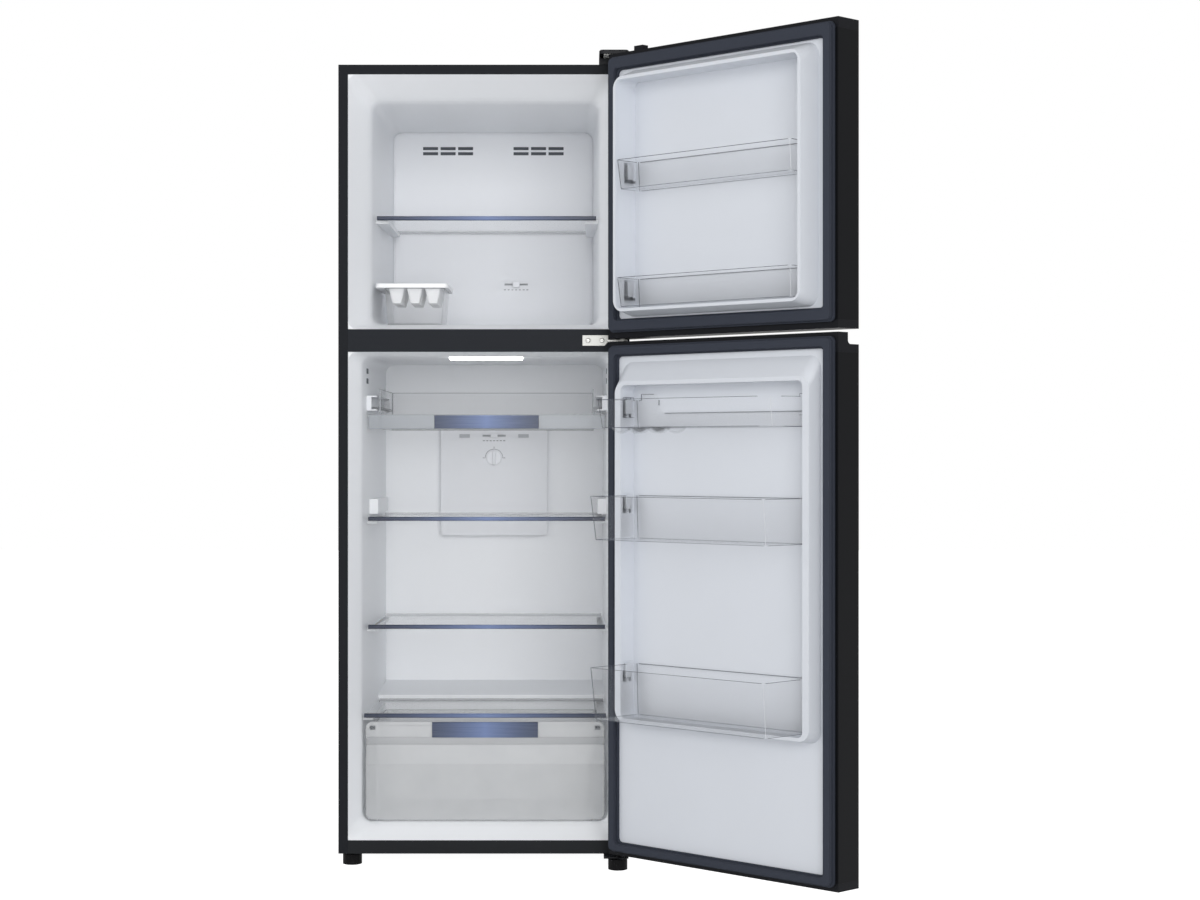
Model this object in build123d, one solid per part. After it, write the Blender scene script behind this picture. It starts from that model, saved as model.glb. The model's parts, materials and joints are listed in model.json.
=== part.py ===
"""A free-standing top-freezer refrigerator: a foamed steel cabinet with two moulded liners,
two foamed doors hung on the right, and the shelves, drawers, bins and cooling parts inside.

Millimetres. X runs to the right, Y runs to the back from the cabinet's front plane and Z runs up
from the floor. X = 0 is the middle of the cabinet. The doors stand open, as they rest.
"""
import os
from build123d import *

# fits that many pieces share
RUNNING_GAP = 0.05
SEAT_GAP = 0.3
PAST = 1.0

# cabinet
CABINET_WIDTH = 545.0
CABINET_DEPTH = 540.0
CABINET_TOP = 1500.0
CABINET_BOTTOM = 23.5
SHEET = 1.0
FRONT_BORDER = 18.0
SILL_HEIGHT = 25.0
MULLION_LOW = 962.5
MULLION_HEIGHT = 42.5
CHANNEL_DEPTH = 13.0
CHANNEL_INSET = 11.0
CHANNEL_END_GAP = 4.0
HALF = CABINET_WIDTH / 2
INSIDE = HALF - SHEET
MOUTH_HALF = HALF - FRONT_BORDER
MOUTH_TOP = CABINET_TOP - FRONT_BORDER
MULLION_HIGH = MULLION_LOW + MULLION_HEIGHT
SILL_HIGH = CABINET_BOTTOM + SILL_HEIGHT
BEYOND = CABINET_DEPTH + 20.0

# moulded liners: each mouth narrows through a throat and then tapers to the rear wall
LINER = 1.5
LINER_TUCK = 8.0
CORNER_RADIUS = 18.0
THROAT_BLENDS = 3
FREEZER_THROAT_Y = 72.0
FREEZER_STEP = 38.5
FREEZER_FLOOR_STEP = 13.0
FREEZER_CEILING_STEP = 44.0
FREEZER_TAPER = 13.0
FREEZER_CEILING_TAPER = 8.0
FREEZER_REAR_WALL = 45.0
FREEZER_SOFT = 14.0
FRIDGE_THROAT_Y = 42.0
FRIDGE_STEP = 22.5
FRIDGE_FLOOR_STEP = 28.5
FRIDGE_CEILING_STEP = 6.5
FRIDGE_TAPER = 6.5
FRIDGE_REAR_WALL = 50.0
FRIDGE_SOFT = 9.0
FREEZER_THROAT_HALF = MOUTH_HALF - FREEZER_STEP
FREEZER_REAR_HALF = FREEZER_THROAT_HALF - FREEZER_TAPER
FREEZER_FLOOR = MULLION_HIGH + FREEZER_FLOOR_STEP
FREEZER_CEILING = MOUTH_TOP - FREEZER_CEILING_STEP
FREEZER_REAR_HIGH = FREEZER_CEILING - FREEZER_CEILING_TAPER
FREEZER_REAR_Y = CABINET_DEPTH - FREEZER_REAR_WALL
FRIDGE_THROAT_HALF = MOUTH_HALF - FRIDGE_STEP
FRIDGE_REAR_HALF = FRIDGE_THROAT_HALF - FRIDGE_TAPER
FRIDGE_FLOOR = SILL_HIGH + FRIDGE_FLOOR_STEP
FRIDGE_CEILING = MULLION_LOW - FRIDGE_CEILING_STEP
FRIDGE_REAR_Y = CABINET_DEPTH - FRIDGE_REAR_WALL
WALL_SLOT_LENGTH = 30.0
WALL_SLOT_HEIGHT = 10.0
WALL_SLOT_Y = 118.0
WALL_SLOT_DROPS = (25.0, 44.0)
WALL_SLOT_DEPTH = 1.0

# crisper drawer, and the shelf levels that stack up from it
CRISPER_HEIGHT = 186.0
CRISPER_LIFT = 2.5
COVER_GAP = 7.0
COVER_ROOM = 163.0
LOWER_ROOM = 207.5
CRISPER_LOW = FRIDGE_FLOOR + CRISPER_LIFT
CRISPER_HIGH = CRISPER_LOW + CRISPER_HEIGHT
COVER_LOW = CRISPER_HIGH + COVER_GAP
LOWER_SHELF_LOW = COVER_LOW + COVER_ROOM
UPPER_SHELF_LOW = LOWER_SHELF_LOW + LOWER_ROOM

# machine room at the rear of the base, and the hump that it makes in the fridge
HUMP_DEPTH = 205.0
HUMP_ABOVE_COVER = 13.5
HUMP_RISE = 15.0
HUMP_FOAM = 41.0
BAY_DEPTH = 168.0
BAY_LEAN = 12.0
TRAY_SHEET = 1.2
HUMP_Y = CABINET_DEPTH - HUMP_DEPTH
HUMP_FRONT_HIGH = COVER_LOW + HUMP_ABOVE_COVER
HUMP_REAR_HIGH = HUMP_FRONT_HIGH + HUMP_RISE
BAY_HIGH = HUMP_FRONT_HIGH - HUMP_FOAM
BAY_FRONT_LOW_Y = CABINET_DEPTH - BAY_DEPTH
BAY_FRONT_HIGH_Y = BAY_FRONT_LOW_Y + BAY_LEAN

# evaporator cover, evaporator and fan
EVAP_COVER_DEPTH = 65.0
EVAP_COVER_GAP = 0.8
EVAP_COVER_LIFT = 12.0
EVAP_COVER_WALL = 2.5
EVAP_COVER_EDGE = 4.0
VENT_COLUMN_WIDTH = 31.0
VENT_COLUMN_PITCH = 36.0
VENT_GROUP_X = 93.0
VENT_HEIGHT = 6.5
VENT_DROPS = (31.0, 41.5)
FREEZER_SLOT_X = 47.0
FREEZER_SLOT_RISE = 101.5
FREEZER_SLOT_SIZE = (60.0, 13.0)
EVAPORATOR_SIDE_GAP = 38.0
EVAPORATOR_RISE = 57.0
EVAPORATOR_FRONT_GAP = 10.0
FIN_COUNT = 15
FIN_THICK = 1.2
FIN_SPINE = 4.0
BEND_TUBE_RADIUS = 4.0
BEND_RADIUS = 13.0
BEND_COUNT = 4
FAN_DROP = 78.0
FAN_RADIUS = 46.0
FAN_ROOM = 77.0
FAN_COVER_GAP = 17.0
FAN_DEPTH = 14.0
FAN_HUB_RADIUS = 15.0
FAN_BLADES = 5
FAN_BLADE_PITCH = 32.0
FAN_BLADE_CHORD = 22.0
FAN_BLADE_THICK = 2.0
FAN_BLADE_ROOT = 3.0
FAN_MOTOR_RADIUS = 24.0
FAN_MOTOR_GAP = 5.0
FAN_SHAFT_RADIUS = 2.5
FAN_BRACKET = (150.0, 26.0, 3.0)
EVAP_COVER_Y = FREEZER_REAR_Y - EVAP_COVER_DEPTH
EVAP_COVER_LOW = FREEZER_FLOOR + EVAP_COVER_LIFT
EVAPORATOR_HALF = FREEZER_REAR_HALF - EVAPORATOR_SIDE_GAP
EVAPORATOR_LOW = FREEZER_FLOOR + EVAPORATOR_RISE
FAN_Z = FREEZER_REAR_HIGH - FAN_DROP
EVAPORATOR_HIGH = FAN_Z - FAN_ROOM
EVAPORATOR_Y = EVAP_COVER_Y + EVAPORATOR_FRONT_GAP
FAN_Y = EVAP_COVER_Y + FAN_COVER_GAP
FAN_MOTOR_Y = FAN_Y + FAN_DEPTH + FAN_MOTOR_GAP

# chiller tray and its rails
CHILLER_DROP = 137.0
CHILLER_FRONT_HEIGHT = 28.0
CHILLER_SIDE_HEIGHT = 77.0
CHILLER_SIDE_GAP = 19.5
CHILLER_FRONT_GAP = 5.0
CHILLER_WALL = 2.5
RUNNER_THICK = 4.0
RUNNER_WIDTH = 15.0
RUNNER_ROOM = 1.0
RAIL_SETBACK = 7.0
RAIL_SIDE_GAP = 5.5
RAIL_RISE = 36.0
RAIL_HEIGHT = 28.5
RAIL_WALL = 2.5
RAIL_END_GAP = 6.0
CHILLER_LOW = FRIDGE_CEILING - CHILLER_DROP
CHILLER_FRONT_HIGH = CHILLER_LOW + CHILLER_FRONT_HEIGHT
CHILLER_SIDE_HIGH = CHILLER_LOW + CHILLER_SIDE_HEIGHT
CHILLER_FRONT_HALF = FRIDGE_THROAT_HALF - CHILLER_FRONT_GAP
CHILLER_SIDE_HALF = FRIDGE_REAR_HALF - CHILLER_SIDE_GAP
RUNNER_HALF = CHILLER_SIDE_HALF + RUNNER_WIDTH
RAIL_HALF = CHILLER_SIDE_HALF + RAIL_SIDE_GAP
RAIL_LOW = CHILLER_LOW + RAIL_RISE
RAIL_HIGH = RAIL_LOW + RAIL_HEIGHT
PLATE_HALF = 100.0
PLATE_HEIGHT = 25.0
PLATE_THICK = 2.0
PLATE_EDGE = 0.8

# air duct cover with its controls
DUCT_HALF = 110.0
DUCT_ABOVE_TRAY = 17.0
DUCT_HEIGHT = 233.0
DUCT_DEPTH = 22.0
DUCT_WALL = 2.5
DUCT_RADIUS = 8.0
DUCT_STEP_X = 99.0
DUCT_STEP = 1.5
SMALL_VENT_X = 61.0
SMALL_VENT_DROP = 27.5
SMALL_VENT_SIZE = (22.0, 7.5)
AIR_SLOT_DROP = 27.0
AIR_SLOT_SIZE = (62.0, 9.0)
CONTROL_SLOT_HEIGHT = 4.0
SLIDER_WIDTH = 14.0
SLIDER_STAND = 3.0
SLIDER_TRAVEL = 22.0
SLIDER_MARGIN = 0.5
SLIDER_FOOT = 2.0
SLIDER_GAP = 0.2
KNOB_DROP = 73.0
KNOB_RADIUS = 15.0
KNOB_DEPTH = 9.0
KNOB_GRIP = (5.0, 27.0, 5.0)
KNOB_SHAFT_RADIUS = 4.0
KNOB_SHAFT_END = 4.0
KNOB_GAP = 0.4
LAMP_HALF = 70.0
LAMP_FRONT_Y = 88.0
LAMP_WIDTH = 36.0
LAMP_DEPTH = 5.0
DUCT_Y = FRIDGE_REAR_Y - DUCT_DEPTH
DUCT_HIGH = CHILLER_LOW + DUCT_ABOVE_TRAY
DUCT_LOW = DUCT_HIGH - DUCT_HEIGHT
KNOB_Z = DUCT_HIGH - KNOB_DROP
AIR_SLOT_Z = DUCT_HIGH - AIR_SLOT_DROP
SMALL_VENT_Z = DUCT_HIGH - SMALL_VENT_DROP
FREEZER_SLOT_Z = FREEZER_FLOOR + FREEZER_SLOT_RISE

# shelves: glass in a bar along the front and a lower one along the rear
GLASS = 4.0
TRIM_HEIGHT = 7.5
TRIM_DEPTH = 14.0
TRIM_LIP = 1.5
REAR_TRIM_DEPTH = 12.0
LEDGE_WIDTH = 13.0
LEDGE_HEIGHT = 7.0
LEDGE_MARGIN = 18.0
GUIDE_WIDTH = 12.0
GUIDE_RISE = 12.0
GUIDE_HEIGHT = 29.0
GUIDE_SETBACK = 58.0
GUIDE_LENGTH = 229.0
FREEZER_SHELF_RISE = 202.5
FREEZER_SHELF_FRONT_Y = 112.0
FREEZER_SHELF_REAR_GAP = 4.0
FREEZER_SHELF_SIDE_GAP = 5.5
FREEZER_SHELF_TAPER = 7.0
SHELF_FRONT_Y = 113.0
SHELF_REAR_GAP = 31.0
SHELF_SIDE_GAP = 4.5
SHELF_TAPER = 5.0
COVER_FRONT_Y = 46.0
COVER_REAR_GAP = 7.0
COVER_SIDE_GAP = 3.0
COVER_TAPER = 4.0
FREEZER_SHELF_LOW = FREEZER_FLOOR + FREEZER_SHELF_RISE
FREEZER_SHELF_REAR_Y = EVAP_COVER_Y - FREEZER_SHELF_REAR_GAP
FREEZER_SHELF_HALF = FREEZER_THROAT_HALF - FREEZER_SHELF_SIDE_GAP
SHELF_REAR_Y = DUCT_Y - SHELF_REAR_GAP
SHELF_HALF = FRIDGE_THROAT_HALF - SHELF_SIDE_GAP
COVER_REAR_Y = HUMP_Y - COVER_REAR_GAP
COVER_HALF = FRIDGE_THROAT_HALF - COVER_SIDE_GAP
CHILLER_REAR_GAP = 33.0
CHILLER_FRONT_Y = SHELF_FRONT_Y
CHILLER_REAR_Y = SHELF_REAR_Y - CHILLER_REAR_GAP
RAIL_FRONT_Y = CHILLER_FRONT_Y + RAIL_SETBACK
RAIL_REAR_Y = CHILLER_REAR_Y + RAIL_END_GAP

# crisper drawer's own form
CRISPER_FRONT_Y = COVER_FRONT_Y
CRISPER_REAR_GAP = 13.0
CRISPER_SIDE_GAP = 6.0
CRISPER_WALL = 2.2
CRISPER_FLANK = 14.0
CRISPER_TUB_DROP = 7.5
CRISPER_DRAFT = 8.0
CRISPER_CORNER = 13.0
SCOOP_DROP = 29.5
SCOOP_HEIGHT = 51.0
SCOOP_DEPTH = 13.0
SCOOP_BREAK = 0.3
HANDLE_HALF = 100.0
HANDLE_HEIGHT = 29.0
HANDLE_THICK = 3.0
HANDLE_EDGE = 2.1
HANDLE_DROP = 1.0
CORNER_SLOT = (10.0, 3.0)
CRISPER_REAR_Y = HUMP_Y - CRISPER_REAR_GAP
CRISPER_HALF = FRIDGE_THROAT_HALF - CRISPER_SIDE_GAP
CRISPER_TUB_HALF = CRISPER_HALF - CRISPER_FLANK
CRISPER_TUB_HIGH = CRISPER_HIGH - CRISPER_TUB_DROP
SCOOP_HIGH = CRISPER_HIGH - SCOOP_DROP
SCOOP_LOW = SCOOP_HIGH - SCOOP_HEIGHT

# ice maker pieces
BUCKET_SIZE = (116.0, 162.0, 69.5)
BUCKET_SIDE_GAP = 22.0
BUCKET_FRONT_GAP = 2.0
BUCKET_WALL = 2.0
BUCKET_DRAFT = 6.0
BUCKET_RADIUS = 12.0
ICE_TRAY_LEFT = 15.0
ICE_TRAY_OVER = 6.0
ICE_TRAY_RIM = 8.0
ICE_TRAY_RADIUS = 8.0
ICE_CUP_DEPTH = 28.5
ICE_CUP_COLUMNS = 3
ICE_CUP_ROWS = 3
ICE_CUP_PITCH = (34.5, 49.0)
ICE_CUP_SIZE = (31.0, 45.0)
ICE_CUP_DRAFT = 7.0
ICE_CUP_RADIUS = 5.0
ICE_CUP_FLOOR_RADIUS = 3.0
ICE_WALL = 1.5
BUCKET_LEFT = -FREEZER_THROAT_HALF + BUCKET_SIDE_GAP
BUCKET_RIGHT = BUCKET_LEFT + BUCKET_SIZE[0]
BUCKET_FRONT = FREEZER_THROAT_Y + BUCKET_FRONT_GAP
BUCKET_REAR = BUCKET_FRONT + BUCKET_SIZE[1]
BUCKET_HIGH = FREEZER_FLOOR + BUCKET_SIZE[2]

# doors
DOOR_SIDE_GAP = 1.0
DOOR_THICK = 58.0
DOOR_GAP = 13.0
DOOR_OPEN = 135.0
DOOR_EDGE_RADIUS = 4.0
DOOR_OVER_TOP = 11.0
DOOR_OVER_MULLION = 16.0
DOOR_ABOVE_BASE = 8.0
DOORS_APART = 6.8
TOP_CAP = 18.0
BOTTOM_CAP = 14.0
GRIP_CAP = 34.5
GRIP_HEIGHT = 20.0
GRIP_WALL = 26.0
GRIP_END = 49.5
GRIP_ROUND = 7.0
LUG_SIZE = (22.0, 14.0, 8.0)
LUG_FROM_EDGE = 65.0
PANEL_RETURN = 15.0
FLANGE_INSET = 15.5
FLANGE_TOP_MARGIN = 21.5
FLANGE_DEPTH = 20.0
GASKET_THICK = 12.0
GASKET_BASE = 5.0
GASKET_LIP_INSET = 3.5
GASKET_INSET = 6.5
GASKET_WIDTH = 21.0
GASKET_RADIUS = 10.0
GASKET_LIP_RADIUS = 8.0
DOOR_HALF = HALF - DOOR_SIDE_GAP
FRIDGE_DOOR_LOW = CABINET_BOTTOM + DOOR_ABOVE_BASE
FRIDGE_DOOR_HIGH = MULLION_LOW + DOOR_OVER_MULLION
FREEZER_DOOR_LOW = FRIDGE_DOOR_HIGH + DOORS_APART
FREEZER_DOOR_HIGH = CABINET_TOP + DOOR_OVER_TOP
DOOR_FLANGE_HALF = DOOR_HALF - FLANGE_INSET
GASKET_OUTER_HALF = DOOR_HALF - GASKET_INSET
GASKET_INNER_HALF = GASKET_OUTER_HALF - GASKET_WIDTH

# margins of each gasket from its door: outer and inner below, inner and outer above
FREEZER_GASKET_MARGINS = (10.2, 34.7, 33.0, 7.0)
FRIDGE_GASKET_MARGINS = (7.0, 25.5, 27.5, 7.0)

# raised part of each door liner: margins (side, below, above) of its foot from the door, of its
# crest from the foot and of the sunk pocket from the crest, then how high and how deep they are
FREEZER_FOOT_MARGINS = (43.5, 37.7, 37.0)
FREEZER_CREST_MARGINS = (6.5, 8.0, 15.0)
FREEZER_POCKET_MARGINS = (6.5, 5.5, 6.0)
FREEZER_DYKE_HEIGHT = 40.0
FREEZER_POCKET_FLOOR = -12.0
FRIDGE_FOOT_MARGINS = (38.0, 246.5, 38.5)
FRIDGE_CREST_MARGINS = (4.0, 5.0, 36.0)
FRIDGE_POCKET_MARGINS = (14.5, 6.0, 7.0)
FRIDGE_DYKE_HEIGHT = 27.0
FRIDGE_POCKET_FLOOR = -8.0
DYKE_RADIUS = 22.0
POCKET_RADIUS = 11.0

# door bins, each hung by a hook at both ends on a boss of the liner
BIN_WALL = 2.0
BIN_SIDE_GAP = 8.5
BIN_DRAFT = 3.0
BIN_RADIUS = 6.0
BIN_BACK_GAP = 0.4
HOOK_REACH = 7.3
HOOK_BACK = 9.6
HOOK_WIDTH = 20.0
HOOK_HEIGHT = 37.0
HOOK_WALL = 2.0
HOOK_CHEEK = 3.5
HOOK_ROOF = 4.0
BOSS_WIDTH = 6.0
BOSS_GAP = 0.5
BOSS_HEIGHT = 26.0
FREEZER_BIN_HEIGHT = 53.5
FREEZER_BIN_LIFT = 2.5
FREEZER_BIN_SHARE = 0.52
FREEZER_BIN_FRONT = (42.5, 49.0)
FREEZER_HOOK_RISE = -3.0
FRIDGE_HOOK_RISE = 5.0
DEEP_BIN_FRONT = (107.5, 117.0)
MIDDLE_BIN_HEIGHT = 79.0
MIDDLE_BIN_SHARE = 0.5395
LOWER_BIN_HEIGHT = 94.0
LOWER_BIN_LIFT = 5.0
EGG_BIN_HEIGHT = 51.5
EGG_BIN_DROP = 78.5
EGG_BIN_FRONT = (91.0, 100.0)
EGG_BIN_ROUND = 30.0
EGG_BACK_HEIGHT = 27.5
EGG_RAISED_HEIGHT = 62.5
EGG_RAISED_LENGTH = 45.0
EGG_RAISED_END_GAP = 12.0
EGG_RAISED_ROUND = 14.0
EGG_CUP_COLUMNS = 3
EGG_CUP_END_GAP = 34.5
EGG_CUP_PITCH = 48.0
EGG_CUP_FRONTS = (28.0, 68.0)
EGG_CUP_RADIUS = 22.0
EGG_CUP_RISE = 12.0

# hinges: one vertical line carries both doors
PIVOT_INSET = 13.5
PIVOT_Y = -37.0
PIN_RADIUS = 4.0
PIN_LENGTH = 12.0
PIN_END_ROOM = 2.0
HINGE_PLATE = 3.0
HINGE_TIP_RADIUS = 9.0
LEAF_OVERLAP = 2.0
MIDDLE_PLATE_INSETS = (88.0, 40.0)
MIDDLE_PLATE_DROP = 4.5
MIDDLE_PLATE_HEIGHT = 19.5
MIDDLE_PLATE_CORNER = 7.0
MIDDLE_LEAF_INSET = 5.0
MIDDLE_SCREW_INSETS = (77.8, 51.6)
TOP_HINGE_INSETS = (48.5, 4.5)
TOP_HINGE_Y = (4.0, 62.0)
TOP_ARM_GAP = 1.2
TOP_SCREWS = ((36.5, 20.0), (16.5, 20.0), (26.5, 48.0))
HINGE_COVER_INSETS = (57.0, 1.5)
HINGE_COVER_Y = (-50.0, 68.0)
HINGE_COVER_FRONT_Y = -1.0
HINGE_COVER_HEIGHT = 20.0
HINGE_COVER_WALL = 2.0
HINGE_COVER_RADIUS = 8.0
HINGE_COVER_EDGE = 2.0
BOTTOM_HINGE_INSETS = (48.5, 2.5)
BOTTOM_HINGE_REAR_Y = 62.0
BOTTOM_SCREWS = ((32.5, 28.0), (14.5, 28.0))
SCREW_HEAD_RADIUS = 4.6
SCREW_HEAD = 2.6
SCREW_RADIUS = 2.0
SCREW_GAP = 0.2
PIVOT_X = HALF - PIVOT_INSET
ARM_LOW = FREEZER_DOOR_HIGH + TOP_ARM_GAP

# feet and rollers
FOOT_RADIUS = 17.5
FOOT_PAD = 11.0
FOOT_EDGE = 1.5
FOOT_NECK_RADIUS = 10.0
FOOT_NECK_HIGH = 17.0
STEM_RADIUS = 4.0
STEM_END = 4.0
LEFT_FOOT = (-HALF + 23.5, 30.0)
RIGHT_FOOT = (HALF - 22.5, -31.0)
NUT_RADIUS = 8.0
NUT_HEIGHT = 10.0
ROLLER_RADIUS = 11.0
ROLLER_WIDTH = 22.0
ROLLER_SIDE_INSET = 37.5
ROLLER_REAR_INSET = 35.0
AXLE_RADIUS = 3.0
EAR = 2.5
EAR_GAP = 0.6
EAR_LENGTH = 16.0
EAR_BELOW_AXLE = 6.0
ROLLER_X = HALF - ROLLER_SIDE_INSET
ROLLER_Y = CABINET_DEPTH - ROLLER_REAR_INSET

# compressor group
COMPRESSOR_X = 60.0
COMPRESSOR_REAR_GAP = 78.0
COMPRESSOR_RADIUS = 61.0
COMPRESSOR_HEIGHT = 132.0
COMPRESSOR_ROUND = 28.0
SEAM_RADIUS = 63.5
SEAM_HEIGHT = 4.0
SEAM_SHARE = 0.55
MOUNT_PITCH = (150.0, 100.0)
MOUNT_RADIUS = 10.0
MOUNT_HEIGHT = 12.0
FOOT_PLATE = 3.0
FOOT_PLATE_MARGIN = 14.0
FOOT_PLATE_RADIUS = 12.0
RELAY_BOX = (30.0, 54.0, 62.0)
RELAY_SUNK = 6.0
RELAY_RISE = 12.0
PAN_SIZE = (170.0, 116.0, 30.0)
PAN_WALL = 2.0
PAN_DRAFT = 6.0
PAN_RADIUS = 12.0
TUBE_RADIUS = 3.0
TUBE_BEND = 14.0
HOT_TUBE_DROP = 70.0
HOT_TUBE_REACH = 110.0
COLD_TUBE_DROP = 100.0
COLD_TUBE_REACH = 60.0
COLD_TUBE_OFFSET = 40.0
DRIER_RADIUS = 9.0
DRIER_LENGTH = 60.0
DRIER_RISE = 40.0
COVER_SLOT = (70.0, 6.0)
COVER_SLOT_PITCH = 18.0
COVER_SLOT_RISE = 45.0
COVER_SLOT_ROWS = 8
COVER_SLOT_COLUMNS = 5
COVER_SLOT_STEP = 90.0
COMPRESSOR_Y = CABINET_DEPTH - COMPRESSOR_REAR_GAP
DECK_HIGH = CABINET_BOTTOM + TRAY_SHEET
FOOT_PLATE_LOW = DECK_HIGH + MOUNT_HEIGHT
SHELL_LOW = FOOT_PLATE_LOW + FOOT_PLATE
SHELL_HIGH = SHELL_LOW + COMPRESSOR_HEIGHT


def block(x0, x1, y0, y1, z0, z1):
    """A box between two opposite corners."""
    return Pos((x0 + x1) / 2, (y0 + y1) / 2, (z0 + z1) / 2) * Box(x1 - x0, y1 - y0, z1 - z0)


def upright(half, low, high, y, radius):
    """A rounded rectangle standing across the cabinet at depth y."""
    plane = Plane(origin=(0, y, (low + high) / 2), x_dir=(1, 0, 0), z_dir=(0, -1, 0))
    return plane * RectangleRounded(2 * half, high - low, radius)


def lying(x0, x1, y0, y1, z, radius):
    """A rounded rectangle lying level at height z."""
    return Pos((x0 + x1) / 2, (y0 + y1) / 2, z) * RectangleRounded(x1 - x0, y1 - y0, radius)


def lying_soft(x0, x1, y0, y1, z, radius, soft):
    """As lying, with a wider curve at the corner of the lowest x and the highest y."""
    sheet = Rectangle(x1 - x0, y1 - y0)
    wide = sheet.vertices().sort_by(lambda v: v.X - v.Y)[0]
    others = [v for v in sheet.vertices() if v is not wide and (v.X > 0 or v.Y < 0)]
    sheet = fillet(others, radius)
    wide = sheet.vertices().sort_by(lambda v: v.X - v.Y)[0]
    return Pos((x0 + x1) / 2, (y0 + y1) / 2, z) * fillet(wide, soft)


def side_profile(points, x0, x1):
    """A solid drawn from the side as (y, z) points and extruded across from x0 to x1."""
    face = make_face(Polyline(*[(x0, y, z) for y, z in points], close=True))
    return extrude(face, amount=x1 - x0, dir=(1, 0, 0))


def post(radius, x, y, z0, z1):
    """A vertical cylinder."""
    return Pos(x, y, (z0 + z1) / 2) * Cylinder(radius, z1 - z0)


def rod(radius, x, z, y0, y1):
    """A cylinder that runs front to back."""
    return Pos(x, (y0 + y1) / 2, z) * Rot(90, 0, 0) * Cylinder(radius, y1 - y0)


def grown(outline, by):
    """An (x0, x1, y0, y1) outline moved out by a distance, or in where that is negative."""
    x0, x1, y0, y1 = outline
    return x0 - by, x1 + by, y0 - by, y1 + by


def tub(bottom, top, z0, z1, wall, radius, soft=None):
    """An open container between two (x0, x1, y0, y1) outlines, with one wider corner where soft is given."""
    def sheet(outline, z, inset):
        place = grown(outline, -inset)
        if soft:
            return lying_soft(*place, z, radius - inset, soft - inset)
        return lying(*place, z, radius - inset)
    outer = loft([sheet(bottom, z0, 0), sheet(top, z1, 0)], ruled=True)
    return outer - loft([sheet(bottom, z0 + wall, wall), sheet(top, z1, wall)], ruled=True)


def both_sides(solid):
    """A solid and its mirror image across the middle of the cabinet."""
    return [solid, mirror(solid, about=Plane.YZ)]


def between(a, b, share):
    """Values part of the way from one set to another."""
    return tuple(p + (q - p) * share for p, q in zip(a, b))


def room(mouth, throat, rear, soft):
    """A room lofted through (half, low, high, y) sections, with the throat's edge blended over a distance."""
    before = between(throat, mouth, soft / (throat[3] - mouth[3]))
    after = between(throat, rear, soft / (rear[3] - throat[3]))
    sections = [mouth]
    for i in range(THROAT_BLENDS + 1):
        t = i / THROAT_BLENDS
        sections.append(between(between(before, throat, t), between(throat, after, t), t))
    sections.append(rear)
    return loft([upright(*section, CORNER_RADIUS) for section in sections], ruled=True)


def freezer_wall(y):
    """The freezer's half width and ceiling at a depth behind its throat."""
    share = (y - FREEZER_THROAT_Y) / (FREEZER_REAR_Y - FREEZER_THROAT_Y)
    return FREEZER_THROAT_HALF - FREEZER_TAPER * share, FREEZER_CEILING - FREEZER_CEILING_TAPER * share


def fridge_half(y):
    """The fridge's half width at a depth behind its throat."""
    return FRIDGE_THROAT_HALF - FRIDGE_TAPER * (y - FRIDGE_THROAT_Y) / (FRIDGE_REAR_Y - FRIDGE_THROAT_Y)


def freezer_space(grow=0.0):
    """The freezer's room, or the same grown by a wall thickness."""
    mouth = (MOUTH_HALF + grow, MULLION_HIGH - grow, MOUTH_TOP + grow, SHEET)
    throat = (FREEZER_THROAT_HALF + grow, FREEZER_FLOOR - grow, FREEZER_CEILING + grow, FREEZER_THROAT_Y)
    rear = (FREEZER_REAR_HALF + grow, FREEZER_FLOOR - grow, FREEZER_REAR_HIGH + grow, FREEZER_REAR_Y + grow)
    return room(mouth, throat, rear, FREEZER_SOFT)


def hump(shrink=0.0):
    """What the machine room takes from the fridge's room."""
    front = HUMP_Y + shrink
    points = [(front, 0), (front, HUMP_FRONT_HIGH - shrink), (FRIDGE_REAR_Y, HUMP_REAR_HIGH - shrink),
              (BEYOND, HUMP_REAR_HIGH - shrink), (BEYOND, 0)]
    return side_profile(points, -HALF, HALF)


def fridge_space(grow=0.0):
    """The fridge's room, or the same grown by a wall thickness."""
    mouth = (MOUTH_HALF + grow, SILL_HIGH - grow, MULLION_LOW + grow, SHEET)
    throat = (FRIDGE_THROAT_HALF + grow, FRIDGE_FLOOR - grow, FRIDGE_CEILING + grow, FRIDGE_THROAT_Y)
    rear = (FRIDGE_REAR_HALF + grow, FRIDGE_FLOOR - grow, FRIDGE_CEILING + grow, FRIDGE_REAR_Y + grow)
    return room(mouth, throat, rear, FRIDGE_SOFT) - hump(grow)


def tuck(low, high):
    """The liner's rim, tucked behind the steel border around a mouth."""
    rim = upright(MOUTH_HALF + LINER_TUCK, low - LINER_TUCK, high + LINER_TUCK, SHEET + LINER, CORNER_RADIUS)
    rim -= upright(MOUTH_HALF, low, high, SHEET + LINER, CORNER_RADIUS)
    return extrude(rim, amount=LINER, dir=(0, -1, 0))


def ledges(shelf_low, front_y, rear_y, rear_half, space):
    """The two moulded ledges that carry a shelf's glass."""
    high = shelf_low + TRIM_LIP
    bar = block(rear_half - LEDGE_WIDTH, HALF, front_y + LEDGE_MARGIN, rear_y - LEDGE_MARGIN,
                high - LEDGE_HEIGHT, high)
    return [space & side for side in both_sides(bar)]


def shelf_guides(space):
    """The two moulded blocks on the walls that keep the upper shelf from tipping."""
    low = UPPER_SHELF_LOW + GUIDE_RISE
    front = SHELF_FRONT_Y + GUIDE_SETBACK
    bar = block(FRIDGE_REAR_HALF - GUIDE_WIDTH, HALF, front, front + GUIDE_LENGTH, low, low + GUIDE_HEIGHT)
    return [space & side for side in both_sides(bar)]


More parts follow.
